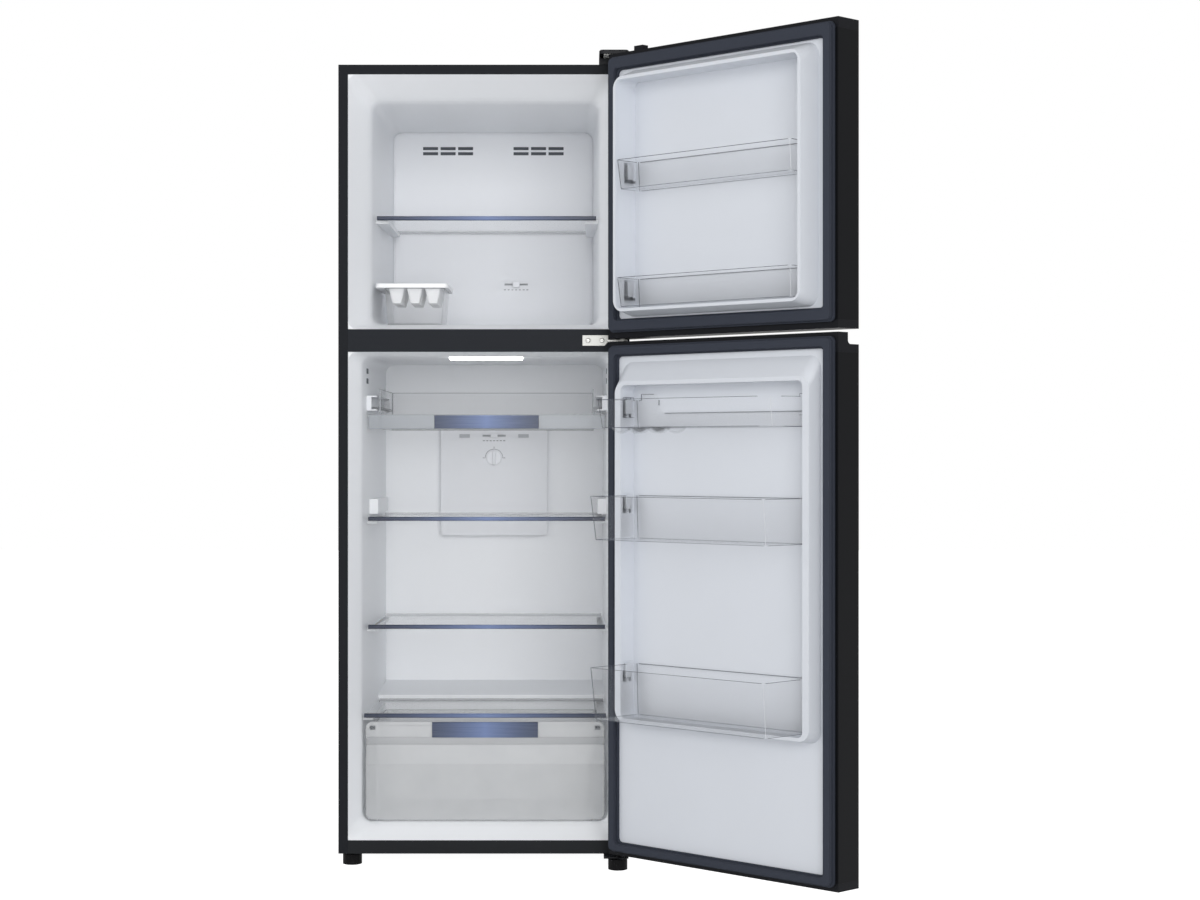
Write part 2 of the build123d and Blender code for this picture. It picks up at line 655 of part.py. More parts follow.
def freezer_liner():
    outer = freezer_space(LINER)
    liner = outer - freezer_space() + tuck(MULLION_HIGH, MOUTH_TOP)
    for ledge in ledges(FREEZER_SHELF_LOW, FREEZER_SHELF_FRONT_Y, FREEZER_SHELF_REAR_Y,
                        FREEZER_REAR_HALF, outer):
        liner += ledge
    return liner


def wall_slots():
    """The shallow slots high on the fridge's side walls."""
    wall = fridge_half(WALL_SLOT_Y)
    slots = []
    for drop in WALL_SLOT_DROPS:
        middle = FRIDGE_CEILING - drop
        slot = block(wall - WALL_SLOT_DEPTH, wall + WALL_SLOT_DEPTH,
                     WALL_SLOT_Y, WALL_SLOT_Y + WALL_SLOT_LENGTH,
                     middle - WALL_SLOT_HEIGHT / 2, middle + WALL_SLOT_HEIGHT / 2)
        slots += both_sides(slot)
    return slots


def fridge_liner():
    outer = fridge_space(LINER)
    liner = outer - fridge_space() + tuck(SILL_HIGH, MULLION_LOW)
    supports = shelf_guides(outer)
    for low in (UPPER_SHELF_LOW, LOWER_SHELF_LOW):
        supports += ledges(low, SHELF_FRONT_Y, SHELF_REAR_Y, FRIDGE_REAR_HALF, outer)
    supports += ledges(COVER_LOW, COVER_FRONT_Y, COVER_REAR_Y, FRIDGE_REAR_HALF, outer)
    for support in supports:
        liner += support
    for slot in wall_slots():
        liner -= slot
    return liner


def outer_shell():
    """One sheet bent over both sides and the top, with a border turned in at the front."""
    wrap = block(-HALF, HALF, 0, CABINET_DEPTH, CABINET_BOTTOM, CABINET_TOP)
    wrap -= block(-INSIDE, INSIDE, SHEET, CABINET_DEPTH, CABINET_BOTTOM, CABINET_TOP - SHEET)
    return wrap - block(-MOUTH_HALF, MOUTH_HALF, 0, SHEET, CABINET_BOTTOM, MOUTH_TOP)


def rear_panel():
    return block(-INSIDE, INSIDE, CABINET_DEPTH - SHEET, CABINET_DEPTH, BAY_HIGH + TRAY_SHEET,
                 CABINET_TOP - SHEET)


def roller_ears(x):
    """Two ears and the axle that carry one rear roller."""
    inner = ROLLER_WIDTH / 2 + EAR_GAP
    y0, y1 = ROLLER_Y - EAR_LENGTH / 2, ROLLER_Y + EAR_LENGTH / 2
    low = ROLLER_RADIUS - EAR_BELOW_AXLE
    pair = block(x - inner - EAR, x - inner, y0, y1, low, CABINET_BOTTOM)
    pair += block(x + inner, x + inner + EAR, y0, y1, low, CABINET_BOTTOM)
    return pair + Pos(x, ROLLER_Y, ROLLER_RADIUS) * Rot(0, 90, 0) * Cylinder(AXLE_RADIUS, 2 * (inner + EAR))


def foot_nut():
    """The thread boss for the left foot."""
    return post(NUT_RADIUS, *LEFT_FOOT, CABINET_BOTTOM, CABINET_BOTTOM + NUT_HEIGHT)


def base_tray():
    """The bottom deck with its front sill, the machine room's wall and roof, and the roller ears."""
    rear = CABINET_DEPTH - SHEET
    deck = block(-INSIDE, INSIDE, SHEET, rear, CABINET_BOTTOM, DECK_HIGH)
    sill = block(-MOUTH_HALF, MOUTH_HALF, 0, SHEET, CABINET_BOTTOM, SILL_HIGH)
    wall = [(BAY_FRONT_LOW_Y, CABINET_BOTTOM), (BAY_FRONT_HIGH_Y, BAY_HIGH), (rear, BAY_HIGH),
            (rear, BAY_HIGH + TRAY_SHEET), (BAY_FRONT_HIGH_Y - TRAY_SHEET, BAY_HIGH + TRAY_SHEET),
            (BAY_FRONT_LOW_Y - TRAY_SHEET, CABINET_BOTTOM)]
    tray = deck + sill + side_profile(wall, -INSIDE, INSIDE) + foot_nut()
    for x in (-ROLLER_X, ROLLER_X):
        tray += roller_ears(x)
    return tray - post(STEM_RADIUS + RUNNING_GAP, *LEFT_FOOT, 0, CABINET_BOTTOM + NUT_HEIGHT)


def mullion_channel(inset):
    """The stiffener behind the mullion strip, or its hollow where an inset is given."""
    reach = MOUTH_HALF - CHANNEL_END_GAP + inset
    edge = CHANNEL_INSET + inset
    return block(-reach, reach, SHEET, SHEET + CHANNEL_DEPTH - inset, MULLION_LOW + edge, MULLION_HIGH - edge)


def mullion_rail():
    strip = block(-MOUTH_HALF, MOUTH_HALF, 0, SHEET, MULLION_LOW, MULLION_HIGH)
    return strip + (mullion_channel(0) - mullion_channel(TRAY_SHEET))


def foam_slabs():
    """The boxes that part the cabinet's foam into one slab for each wall."""
    front, rear = SHEET + LINER, CABINET_DEPTH - SHEET
    top, bottom = CABINET_TOP - SHEET, DECK_HIGH
    freezer_side, freezer_back = FREEZER_REAR_HALF + LINER, FREEZER_REAR_Y + LINER
    freezer_low, freezer_high = FREEZER_FLOOR - LINER, FREEZER_REAR_HIGH + LINER
    fridge_side, fridge_back = FRIDGE_REAR_HALF + LINER, FRIDGE_REAR_Y + LINER
    fridge_low, fridge_high = FRIDGE_FLOOR - LINER, FRIDGE_CEILING + LINER
    roof = BAY_HIGH + TRAY_SHEET
    slabs = [(-freezer_side, freezer_side, front, freezer_back, freezer_high, top),
             (-INSIDE, INSIDE, freezer_back, rear, freezer_low, top),
             (-INSIDE, INSIDE, front, rear, fridge_high, freezer_low),
             (-INSIDE, INSIDE, fridge_back, rear, roof, fridge_high),
             (-fridge_side, fridge_side, HUMP_Y, fridge_back, roof, HUMP_REAR_HIGH),
             (-fridge_side, fridge_side, HUMP_Y, rear, fridge_low, roof),
             (-fridge_side, fridge_side, front, rear, bottom, fridge_low)]
    for x0, x1 in ((-INSIDE, -freezer_side), (freezer_side, INSIDE)):
        slabs.append((x0, x1, front, freezer_back, freezer_high, top))
        slabs.append((x0, x1, front, freezer_back, freezer_low, freezer_high))
    for x0, x1 in ((-INSIDE, -fridge_side), (fridge_side, INSIDE)):
        slabs.append((x0, x1, front, fridge_back, roof, fridge_high))
        slabs.append((x0, x1, front, rear, fridge_low, roof))
        slabs.append((x0, x1, front, rear, bottom, fridge_low))
    return slabs


def insulation():
    """The foam between the steel and the liners, one slab for each wall."""
    foam = block(-INSIDE, INSIDE, SHEET + LINER, CABINET_DEPTH - SHEET, DECK_HIGH, CABINET_TOP - SHEET)
    roof = BAY_HIGH + TRAY_SHEET
    bay = [(BAY_FRONT_LOW_Y - TRAY_SHEET, CABINET_BOTTOM), (BAY_FRONT_HIGH_Y - TRAY_SHEET, roof),
           (BEYOND, roof), (BEYOND, CABINET_BOTTOM)]
    foam -= side_profile(bay, -HALF, HALF)
    foam -= freezer_space(LINER)
    foam -= fridge_space(LINER)
    foam -= mullion_channel(0)
    foam -= foot_nut()
    return [foam & block(*slab) for slab in foam_slabs()]


def evaporator_cover_form(inset):
    """The cover's form, which follows the freezer's tapering walls, or its hollow where an inset is given."""
    gap = EVAP_COVER_GAP + inset
    half, high = freezer_wall(EVAP_COVER_Y)
    low, radius = EVAP_COVER_LOW + inset, CORNER_RADIUS - gap
    rear = upright(FREEZER_REAR_HALF - gap, low, FREEZER_REAR_HIGH - gap, FREEZER_REAR_Y, radius)
    front = upright(half - gap, low, high - gap, EVAP_COVER_Y + inset, radius)
    return loft([rear, front], ruled=True)


def evaporator_cover():
    """A shallow moulded box with its open back on the freezer's rear wall."""
    wall = EVAP_COVER_WALL
    cover = evaporator_cover_form(0)
    cover = fillet(cover.faces().sort_by(Axis.Y)[0].edges(), EVAP_COVER_EDGE) - evaporator_cover_form(wall)
    for group in (-VENT_GROUP_X, VENT_GROUP_X):
        for column in (-1, 0, 1):
            x = group + column * VENT_COLUMN_PITCH
            for drop in VENT_DROPS:
                z = FREEZER_REAR_HIGH - drop
                cover -= block(x - VENT_COLUMN_WIDTH / 2, x + VENT_COLUMN_WIDTH / 2, EVAP_COVER_Y - PAST,
                               EVAP_COVER_Y + wall + PAST, z - VENT_HEIGHT / 2, z + VENT_HEIGHT / 2)
    return cover - control_slot(FREEZER_SLOT_X, FREEZER_SLOT_Z, FREEZER_SLOT_SIZE, EVAP_COVER_Y, wall)


def control_slot(x, z, size, face_y, wall):
    """A sunk window with a through slot, for a sliding control."""
    width, height = size
    sunk = block(x - width / 2, x + width / 2, face_y - PAST, face_y + wall / 2,
                 z - height / 2, z + height / 2)
    half = CONTROL_SLOT_HEIGHT / 2
    reach = SLIDER_TRAVEL + half
    return sunk + block(x - reach, x + reach, face_y - PAST, face_y + wall + PAST, z - half, z + half)


def control_slider(x, z, size, face_y, wall):
    """A finger tab on a neck through the slot, with a foot that holds it from behind."""
    x0, x1 = x - SLIDER_WIDTH / 2, x + SLIDER_WIDTH / 2
    z0, z1 = z - size[1] / 2 + SLIDER_MARGIN, z + size[1] / 2 - SLIDER_MARGIN
    tab_back = face_y + wall / 2 - SLIDER_GAP
    foot_front = face_y + wall + SLIDER_GAP
    neck = CONTROL_SLOT_HEIGHT / 2 - SEAT_GAP
    tab = block(x0, x1, face_y - SLIDER_STAND, tab_back, z0, z1)
    foot = block(x0, x1, foot_front, foot_front + SLIDER_FOOT, z0, z1)
    return tab + foot + block(x - neck, x + neck, tab_back, foot_front, z - neck, z + neck)


def evaporator():
    """A fin pack on a spine, with the tube's return bends at both ends."""
    front, rear = EVAPORATOR_Y, FREEZER_REAR_Y
    pack = block(-EVAPORATOR_HALF, EVAPORATOR_HALF, rear - FIN_SPINE, rear, EVAPORATOR_LOW, EVAPORATOR_HIGH)
    pitch = (2 * EVAPORATOR_HALF - FIN_THICK) / (FIN_COUNT - 1)
    for i in range(FIN_COUNT):
        x = -EVAPORATOR_HALF + i * pitch
        pack += block(x, x + FIN_THICK, front, rear - FIN_SPINE, EVAPORATOR_LOW, EVAPORATOR_HIGH)
    middle = (front + rear) / 2
    for i in range(BEND_COUNT):
        z = EVAPORATOR_LOW + (EVAPORATOR_HIGH - EVAPORATOR_LOW) * (i + 0.5) / BEND_COUNT
        ring = Pos(EVAPORATOR_HALF, middle, z) * Torus(BEND_RADIUS, BEND_TUBE_RADIUS)
        half = ring & block(EVAPORATOR_HALF, HALF, front, rear, z - BEND_RADIUS, z + BEND_RADIUS)
        for bend in both_sides(half):
            pack += bend
    return pack


def fan_motor():
    length, height, thick = FAN_BRACKET
    seat = FREEZER_REAR_Y - thick
    bracket = block(-length / 2, length / 2, seat, FREEZER_REAR_Y, FAN_Z - height / 2, FAN_Z + height / 2)
    motor = rod(FAN_MOTOR_RADIUS, 0, FAN_Z, FAN_MOTOR_Y, seat)
    return bracket + motor + rod(FAN_SHAFT_RADIUS, 0, FAN_Z, FAN_Y, FAN_MOTOR_Y)


def fan_blade():
    """An axial fan: a hub with pitched blades."""
    fan = rod(FAN_HUB_RADIUS, 0, FAN_Z, FAN_Y, FAN_Y + FAN_DEPTH)
    root = FAN_HUB_RADIUS - FAN_BLADE_ROOT
    span = FAN_RADIUS - root
    for i in range(FAN_BLADES):
        sheet = Rot(0, 0, FAN_BLADE_PITCH) * Box(FAN_BLADE_CHORD, FAN_BLADE_THICK, span)
        turned = Rot(0, i * 360 / FAN_BLADES, 0) * Pos(0, 0, root + span / 2) * sheet
        fan += Pos(0, FAN_Y + FAN_DEPTH / 2, FAN_Z) * turned
    return fan - rod(FAN_SHAFT_RADIUS + RUNNING_GAP, 0, FAN_Z, FAN_Y - PAST, FAN_Y + FAN_DEPTH + PAST)


def air_duct_cover():
    """The moulded air channel on the fridge's rear wall, with vents, a slot and the knob's hole."""
    behind = DUCT_Y + DUCT_WALL
    front = upright(DUCT_HALF, DUCT_LOW, DUCT_HIGH, FRIDGE_REAR_Y, DUCT_RADIUS)
    cover = extrude(front, amount=DUCT_DEPTH, dir=(0, -1, 0))
    inside = upright(DUCT_HALF - DUCT_WALL, DUCT_LOW + DUCT_WALL, DUCT_HIGH - DUCT_WALL, FRIDGE_REAR_Y,
                     DUCT_RADIUS - DUCT_WALL)
    cover -= extrude(inside, amount=DUCT_DEPTH - DUCT_WALL, dir=(0, -1, 0))
    cover -= block(DUCT_STEP_X, HALF, DUCT_Y - PAST, DUCT_Y + DUCT_STEP, DUCT_LOW, DUCT_HIGH)
    width, height = SMALL_VENT_SIZE
    for x in (-SMALL_VENT_X, SMALL_VENT_X):
        cover -= block(x - width / 2, x + width / 2, DUCT_Y - PAST, behind + PAST,
                       SMALL_VENT_Z - height / 2, SMALL_VENT_Z + height / 2)
    cover -= control_slot(0, AIR_SLOT_Z, AIR_SLOT_SIZE, DUCT_Y, DUCT_WALL)
    return cover - rod(KNOB_SHAFT_RADIUS + RUNNING_GAP, 0, KNOB_Z, DUCT_Y - PAST, behind + PAST)


def temperature_knob():
    """A round knob with a raised grip, on a shaft through the duct cover."""
    width, length, rise = KNOB_GRIP
    back = DUCT_Y - KNOB_GAP
    face = back - KNOB_DEPTH + rise
    knob = rod(KNOB_RADIUS, 0, KNOB_Z, face, back)
    knob += block(-width / 2, width / 2, face - rise, face, KNOB_Z - length / 2, KNOB_Z + length / 2)
    return knob + rod(KNOB_SHAFT_RADIUS, 0, KNOB_Z, back, DUCT_Y + DUCT_WALL + KNOB_SHAFT_END)


def lamp_lens():
    lens = block(-LAMP_HALF, LAMP_HALF, LAMP_FRONT_Y, LAMP_FRONT_Y + LAMP_WIDTH, FRIDGE_CEILING - LAMP_DEPTH,
                 FRIDGE_CEILING)
    return chamfer(lens.faces().sort_by(Axis.Z)[0].edges(), LAMP_DEPTH / 2)


def chiller_rails():
    """Two channels on the side walls, open towards the tray's runners."""
    bar = block(RAIL_HALF, HALF, RAIL_FRONT_Y, RAIL_REAR_Y, RAIL_LOW, RAIL_HIGH)
    bar -= block(RAIL_HALF, RUNNER_HALF + RUNNER_ROOM, RAIL_FRONT_Y, RAIL_REAR_Y - RAIL_WALL,
                 RAIL_LOW + RAIL_WALL, RAIL_HIGH - RAIL_WALL)
    space = fridge_space()
    return [space & side for side in both_sides(bar)]


def chiller_tray():
    """A shallow tray of flat panels, whose high sides carry runners in the rails."""
    side, wall = CHILLER_SIDE_HALF, CHILLER_WALL
    front, rear = CHILLER_FRONT_Y, CHILLER_REAR_Y
    inner_front, inner_rear = front + wall, rear - wall
    floor = block(-side, side, inner_front, inner_rear, CHILLER_LOW, CHILLER_LOW + wall)
    face = block(-CHILLER_FRONT_HALF, CHILLER_FRONT_HALF, front, inner_front,
                 CHILLER_LOW, CHILLER_FRONT_HIGH)
    back = block(-side, side, inner_rear, rear, CHILLER_LOW, CHILLER_SIDE_HIGH)
    flank = block(side - wall, side, inner_front, inner_rear, CHILLER_LOW + wall, CHILLER_SIDE_HIGH)
    low = RAIL_LOW + RAIL_WALL + SEAT_GAP
    runner = block(side, RUNNER_HALF, RAIL_FRONT_Y, rear, low, low + RUNNER_THICK)
    return [floor, face, back, *both_sides(flank), *both_sides(runner)]


def chiller_plate():
    middle = (CHILLER_LOW + CHILLER_FRONT_HIGH) / 2
    plate = block(-PLATE_HALF, PLATE_HALF, CHILLER_FRONT_Y - PLATE_THICK, CHILLER_FRONT_Y,
                  middle - PLATE_HEIGHT / 2, middle + PLATE_HEIGHT / 2)
    return chamfer(plate.faces().sort_by(Axis.Y)[0].edges(), PLATE_EDGE)


def shelf_glass(low, front_y, rear_y, front_half, rear_half):
    z = low + TRIM_LIP
    y0, y1 = front_y + TRIM_LIP, rear_y - TRIM_LIP
    x0, x1 = front_half - TRIM_LIP, rear_half - TRIM_LIP
    outline = Polyline((-x0, y0, z), (x0, y0, z), (x1, y1, z), (-x1, y1, z), close=True)
    return extrude(make_face(outline), amount=GLASS, dir=(0, 0, 1))


def shelf_trim(low, front_y, rear_y, front_half, rear_half):
    """The bar around the front edge and the lower one along the rear edge."""
    glass = shelf_glass(low, front_y, rear_y, front_half, rear_half)
    front = block(-front_half, front_half, front_y, front_y + TRIM_DEPTH, low, low + TRIM_HEIGHT)
    front = chamfer(front.faces().sort_by(Axis.Y)[0].edges().filter_by(Axis.X), TRIM_LIP)
    rear = block(-rear_half, rear_half, rear_y - REAR_TRIM_DEPTH, rear_y, low + TRIM_LIP, low + TRIM_HEIGHT)
    return [front - glass, rear - glass]


def crisper_face(back):
    """The drawer's face from the side, moved back by a distance: a rim, a scoop and a flat lower part."""
    y = CRISPER_FRONT_Y + back
    lower = y + CRISPER_WALL
    deepest = SCOOP_HIGH - SCOOP_HEIGHT * SCOOP_BREAK
    return [(y, CRISPER_HIGH), (y, SCOOP_HIGH), (y + SCOOP_DEPTH, deepest), (lower, SCOOP_LOW),
            (lower, CRISPER_LOW)]


def crisper_front():
    """The drawer's face as one wall with rounded corners and a small slot at each upper end."""
    wall = crisper_face(0) + crisper_face(CRISPER_WALL)[::-1]
    outline = upright(CRISPER_HALF, CRISPER_LOW, CRISPER_HIGH, CRISPER_REAR_Y, CRISPER_CORNER)
    panel = side_profile(wall, -CRISPER_HALF, CRISPER_HALF)
    panel &= extrude(outline, amount=CRISPER_REAR_Y, dir=(0, -1, 0))
    length, height = CORNER_SLOT
    low = CRISPER_HIGH - CRISPER_CORNER
    for x in (-CRISPER_HALF + CRISPER_CORNER, CRISPER_HALF - CRISPER_CORNER):
        panel -= block(x - length / 2, x + length / 2, 0, CRISPER_FRONT_Y + CRISPER_WALL, low, low + height)
    return panel


def crisper_drawer():
    """An open tub behind the scooped face; the tub's front wall is cut away where the scoop sinks in."""
    half, draft = CRISPER_TUB_HALF, CRISPER_DRAFT
    front = CRISPER_FRONT_Y + CRISPER_WALL
    floor = (-half + draft, half - draft, front, CRISPER_REAR_Y - draft)
    body = tub(floor, (-half, half, front, CRISPER_REAR_Y), FRIDGE_FLOOR + SEAT_GAP, CRISPER_TUB_HIGH,
               CRISPER_WALL, CRISPER_CORNER)
    scoop = [(0, SCOOP_HIGH)] + crisper_face(0)[1:4] + [(0, SCOOP_LOW)]
    return body - side_profile(scoop, -CRISPER_HALF, CRISPER_HALF) + crisper_front()


def crisper_handle():
    high = CRISPER_HIGH - HANDLE_DROP
    plate = block(-HANDLE_HALF, HANDLE_HALF, CRISPER_FRONT_Y - HANDLE_THICK, CRISPER_FRONT_Y,
                  high - HANDLE_HEIGHT, high)
    return chamfer(plate.faces().sort_by(Axis.Y)[0].edges().sort_by(Axis.Z)[-1], HANDLE_EDGE)


def ice_bucket():
    mouth = (BUCKET_LEFT, BUCKET_RIGHT, BUCKET_FRONT, BUCKET_REAR)
    return tub(grown(mouth, -BUCKET_DRAFT), mouth, FREEZER_FLOOR + SEAT_GAP, BUCKET_HIGH, BUCKET_WALL,
               BUCKET_RADIUS)


def ice_cup(x, y, inset):
    """One tapered cup under the tray's deck, or its hollow up to the rim where an inset is given."""
    deck = BUCKET_HIGH + ICE_WALL
    half_x, half_y = ICE_CUP_SIZE[0] / 2 - inset, ICE_CUP_SIZE[1] / 2 - inset
    mouth = (x - half_x, x + half_x, y - half_y, y + half_y)
    bottom = lying(*grown(mouth, -ICE_CUP_DRAFT), BUCKET_HIGH - ICE_CUP_DEPTH + inset, ICE_CUP_FLOOR_RADIUS)
    top = lying(*mouth, deck, ICE_CUP_RADIUS)
    cup = loft([bottom, top], ruled=True)
    if inset:
        cup += extrude(top, amount=ICE_TRAY_RIM - ICE_WALL)
    return cup


def ice_tray():
    """A rimmed tray of tapered cups that rests on the bucket's rim."""
    low = BUCKET_HIGH
    outline = (BUCKET_LEFT - ICE_TRAY_LEFT, BUCKET_RIGHT + ICE_TRAY_OVER, BUCKET_FRONT - ICE_TRAY_OVER,
               BUCKET_REAR + ICE_TRAY_OVER)
    tray = extrude(lying(*outline, low, ICE_TRAY_RADIUS), amount=ICE_TRAY_RIM)
    tray -= extrude(lying(*grown(outline, -ICE_WALL), low + ICE_WALL, ICE_TRAY_RADIUS - ICE_WALL),
                    amount=ICE_TRAY_RIM)
    for column in range(ICE_CUP_COLUMNS):
        x = (BUCKET_LEFT + BUCKET_RIGHT) / 2 + (column - (ICE_CUP_COLUMNS - 1) / 2) * ICE_CUP_PITCH[0]
        for row in range(ICE_CUP_ROWS):
            y = (BUCKET_FRONT + BUCKET_REAR) / 2 + (row - (ICE_CUP_ROWS - 1) / 2) * ICE_CUP_PITCH[1]
            tray = tray + ice_cup(x, y, 0) - ice_cup(x, y, ICE_WALL)
    return tray


def opened(solid):
    """A piece of a closed door, turned about the hinge line to where the doors rest."""
    return Pos(PIVOT_X, PIVOT_Y, 0) * Rot(0, 0, DOOR_OPEN) * Pos(-PIVOT_X, -PIVOT_Y, 0) * solid


def door_block(low, high, edge):
    """The closed door's outline over a range of heights, shrunk by an edge."""
    y0, y1 = -DOOR_GAP - DOOR_THICK + edge, -DOOR_GAP - edge
    outline = block(-DOOR_HALF + edge, DOOR_HALF - edge, y0, y1, low, high)
    front = outline.faces().sort_by(Axis.Y)[0].edges().filter_by(Axis.Z)
    return fillet(front, DOOR_EDGE_RADIUS - edge)


def door_panel(low, high):
    """The steel skin: the front, both edges and a return on the inner side."""
    skin = door_block(low, high, 0) - door_block(low - PAST, high + PAST, SHEET)
    reach = DOOR_HALF - PANEL_RETURN
    return skin - block(-reach, reach, -DOOR_GAP - SHEET - PAST, -DOOR_GAP + PAST, low - PAST, high + PAST)


def inside_of(outline, margins):
    """A (half, low, high) outline moved in by (side, below, above) margins."""
    half, low, high = outline
    return half - margins[0], low + margins[1], high - margins[2]


def door_form(low, high, foot_margins, crest_margins, pocket_margins):
    """The outlines of a door liner's raised part: its foot, its crest and its sunk pocket."""
    foot = inside_of((DOOR_HALF, low, high), foot_margins)
    crest = inside_of(foot, crest_margins)
    return foot, crest, inside_of(crest, pocket_margins)


def freezer_form():
    return door_form(FREEZER_DOOR_LOW, FREEZER_DOOR_HIGH, FREEZER_FOOT_MARGINS, FREEZER_CREST_MARGINS,
                     FREEZER_POCKET_MARGINS)


def fridge_form():
    return door_form(FRIDGE_DOOR_LOW, FRIDGE_DOOR_HIGH, FRIDGE_FOOT_MARGINS, FRIDGE_CREST_MARGINS,
                     FRIDGE_POCKET_MARGINS)


def raised(form, height, floor, inset):
    """A door liner's raised part with its pocket sunk in, drawn in from the surface by an inset."""
    foot, crest, hollow = form
    low = upright(*inside_of(foot, (inset,) * 3), -DOOR_GAP - inset, DYKE_RADIUS)
    high = upright(*inside_of(crest, (inset,) * 3), -DOOR_GAP + height - inset, DYKE_RADIUS)
    sunk = upright(*inside_of(hollow, (-inset,) * 3), -DOOR_GAP + floor - inset, POCKET_RADIUS)
    return loft([low, high], ruled=True), extrude(sunk, amount=height - floor + inset + PAST, dir=(0, 1, 0))


def door_flange(low, high, inset):
    """The slab under the liner's face, from which the liner is cut."""
    y1 = -DOOR_GAP - inset
    half = DOOR_FLANGE_HALF + inset
    return block(-half, half, y1 - FLANGE_DEPTH, y1, low - inset, high + inset)


def bin_boss(half, floor, top):
    """The block on a pocket's end wall that a bin's hook drops over."""
    y0 = -DOOR_GAP + floor + BIN_BACK_GAP + HOOK_BACK + HOOK_CHEEK + BOSS_GAP
    length = HOOK_WIDTH - 2 * (HOOK_CHEEK + BOSS_GAP)
    return block(half - BOSS_WIDTH, half + LINER / 2, y0, y0 + length, top - BOSS_HEIGHT, top)


def door_liner(low, high, form, height, floor, boss_tops):
    """The moulded inner face, with a boss at each end of every bin."""
    dyke, pocket = raised(form, height, floor, 0)
    liner = door_flange(low, high, 0) + dyke - pocket
    dyke, pocket = raised(form, height, floor, LINER)
    liner -= door_flange(low, high, LINER) + dyke - pocket
    for top in boss_tops:
        for side in both_sides(bin_boss(form[2][0], floor, top)):
            liner += side
    return liner


def door_foam(low, high, form, height, floor):
    y0, y1 = -DOOR_GAP - DOOR_THICK + SHEET, -DOOR_GAP - LINER
    foam = door_block(low, high, SHEET) & block(-HALF, HALF, y0, y1, low, high)
    dyke, pocket = raised(form, height, floor, LINER)
    return foam + dyke - pocket


def gasket(low, high, margins):
    """The door seal: a wide base with a narrower magnetic lip."""
    outer_low, inner_low = low + margins[0], low + margins[1]
    inner_high, outer_high = high - margins[2], high - margins[3]
    inset, lip_y = GASKET_LIP_INSET, -DOOR_GAP + GASKET_BASE
    base = upright(GASKET_OUTER_HALF, outer_low, outer_high, -DOOR_GAP, GASKET_RADIUS)
    base -= upright(GASKET_INNER_HALF, inner_low, inner_high, -DOOR_GAP, GASKET_LIP_RADIUS)
    lip = upright(GASKET_OUTER_HALF - inset, outer_low + inset, outer_high - inset, lip_y, GASKET_LIP_RADIUS)
    lip -= upright(GASKET_INNER_HALF + inset, inner_low - inset, inner_high + inset, lip_y, GASKET_LIP_RADIUS)
    seal = extrude(base, amount=GASKET_BASE, dir=(0, 1, 0))
    return seal + extrude(lip, amount=GASKET_THICK - GASKET_BASE, dir=(0, 1, 0))


def pin_hole(z0, z1):
    return post(PIN_RADIUS + RUNNING_GAP, PIVOT_X, PIVOT_Y, z0, z1)


def lower_cap(low):
    """The moulding that closes a door below, with the hinge pin's hole."""
    return door_block(low, low + BOTTOM_CAP, 0) - pin_hole(low - PAST, low + PIN_LENGTH + PAST)


def freezer_door_caps():
    """The mouldings that close the skin above and below; the upper one has a lug."""
    high = FREEZER_DOOR_HIGH
    upper = door_block(high - TOP_CAP, high, 0) - pin_hole(high - PIN_LENGTH - PIN_END_ROOM, high + PAST)
    width, depth, rise = LUG_SIZE
    x1 = DOOR_HALF - LUG_FROM_EDGE
    upper += block(x1 - width, x1, -DOOR_GAP - depth, -DOOR_GAP, high, high + rise)
    return [upper, lower_cap(FREEZER_DOOR_LOW)]


def fridge_door_caps():
    """As on the freezer, and the upper one holds the finger grip along the door's top edge."""
    high = FRIDGE_DOOR_HIGH
    upper = door_block(high - GRIP_CAP, high, 0)
    grip = block(-HALF, DOOR_HALF - GRIP_END, -DOOR_GAP - DOOR_THICK - PAST, -DOOR_GAP - GRIP_WALL,
                 high - GRIP_HEIGHT, high + PAST)
    corner = grip.edges().filter_by(Axis.X).sort_by(lambda e: e.center().Y - e.center().Z)[-1]
    upper -= fillet(corner, GRIP_ROUND)
    upper -= pin_hole(high - PIN_LENGTH - PIN_END_ROOM, high + PAST)
    upper -= block(-DOOR_FLANGE_HALF, DOOR_FLANGE_HALF, -DOOR_GAP - LINER, 0, high - GRIP_CAP - PAST,
                   high - FLANGE_TOP_MARGIN)
    return [upper, lower_cap(FRIDGE_DOOR_LOW)]


def bin_half(form):
    return form[2][0] - BIN_SIDE_GAP


def bin_hook(half, back, top):
    """The open box at a bin's end, whose roof rests on a boss of the liner."""
    y0, y1 = back + HOOK_BACK, back + HOOK_BACK + HOOK_WIDTH
    low = top - HOOK_HEIGHT
    hook = block(half - BIN_WALL, half + HOOK_REACH, y0, y1, low, top)
    return hook - block(half + HOOK_WALL, half + HOOK_REACH, y0 + HOOK_CHEEK, y1 - HOOK_CHEEK, low,
                        top - HOOK_ROOF)


def door_bin(low, height, fronts, form, floor, hook_rise, soft=None):
    """A clear bin with a leaning front, hung by a hook at each end."""
    high, half = low + height, bin_half(form)
    back = -DOOR_GAP + floor + BIN_BACK_GAP
    bottom = (-half + BIN_DRAFT, half - BIN_DRAFT, back, -DOOR_GAP + fronts[0])
    made = tub(bottom, (-half, half, back, -DOOR_GAP + fronts[1]), low, high, BIN_WALL, BIN_RADIUS, soft)
    for hook in both_sides(bin_hook(half, back, high + hook_rise)):
        made += hook
    return made


def freezer_bin_lows():
    """The floors of the freezer door's two bins."""
    low, high = freezer_form()[2][1:]
    return low + FREEZER_BIN_LIFT, low + (high - low) * FREEZER_BIN_SHARE


def fridge_bin_lows():
    """The floors of the fridge door's bins, from the top one down."""
    low, high = fridge_form()[2][1:]
    return high - EGG_BIN_DROP, low + (high - low) * MIDDLE_BIN_SHARE, low + LOWER_BIN_LIFT


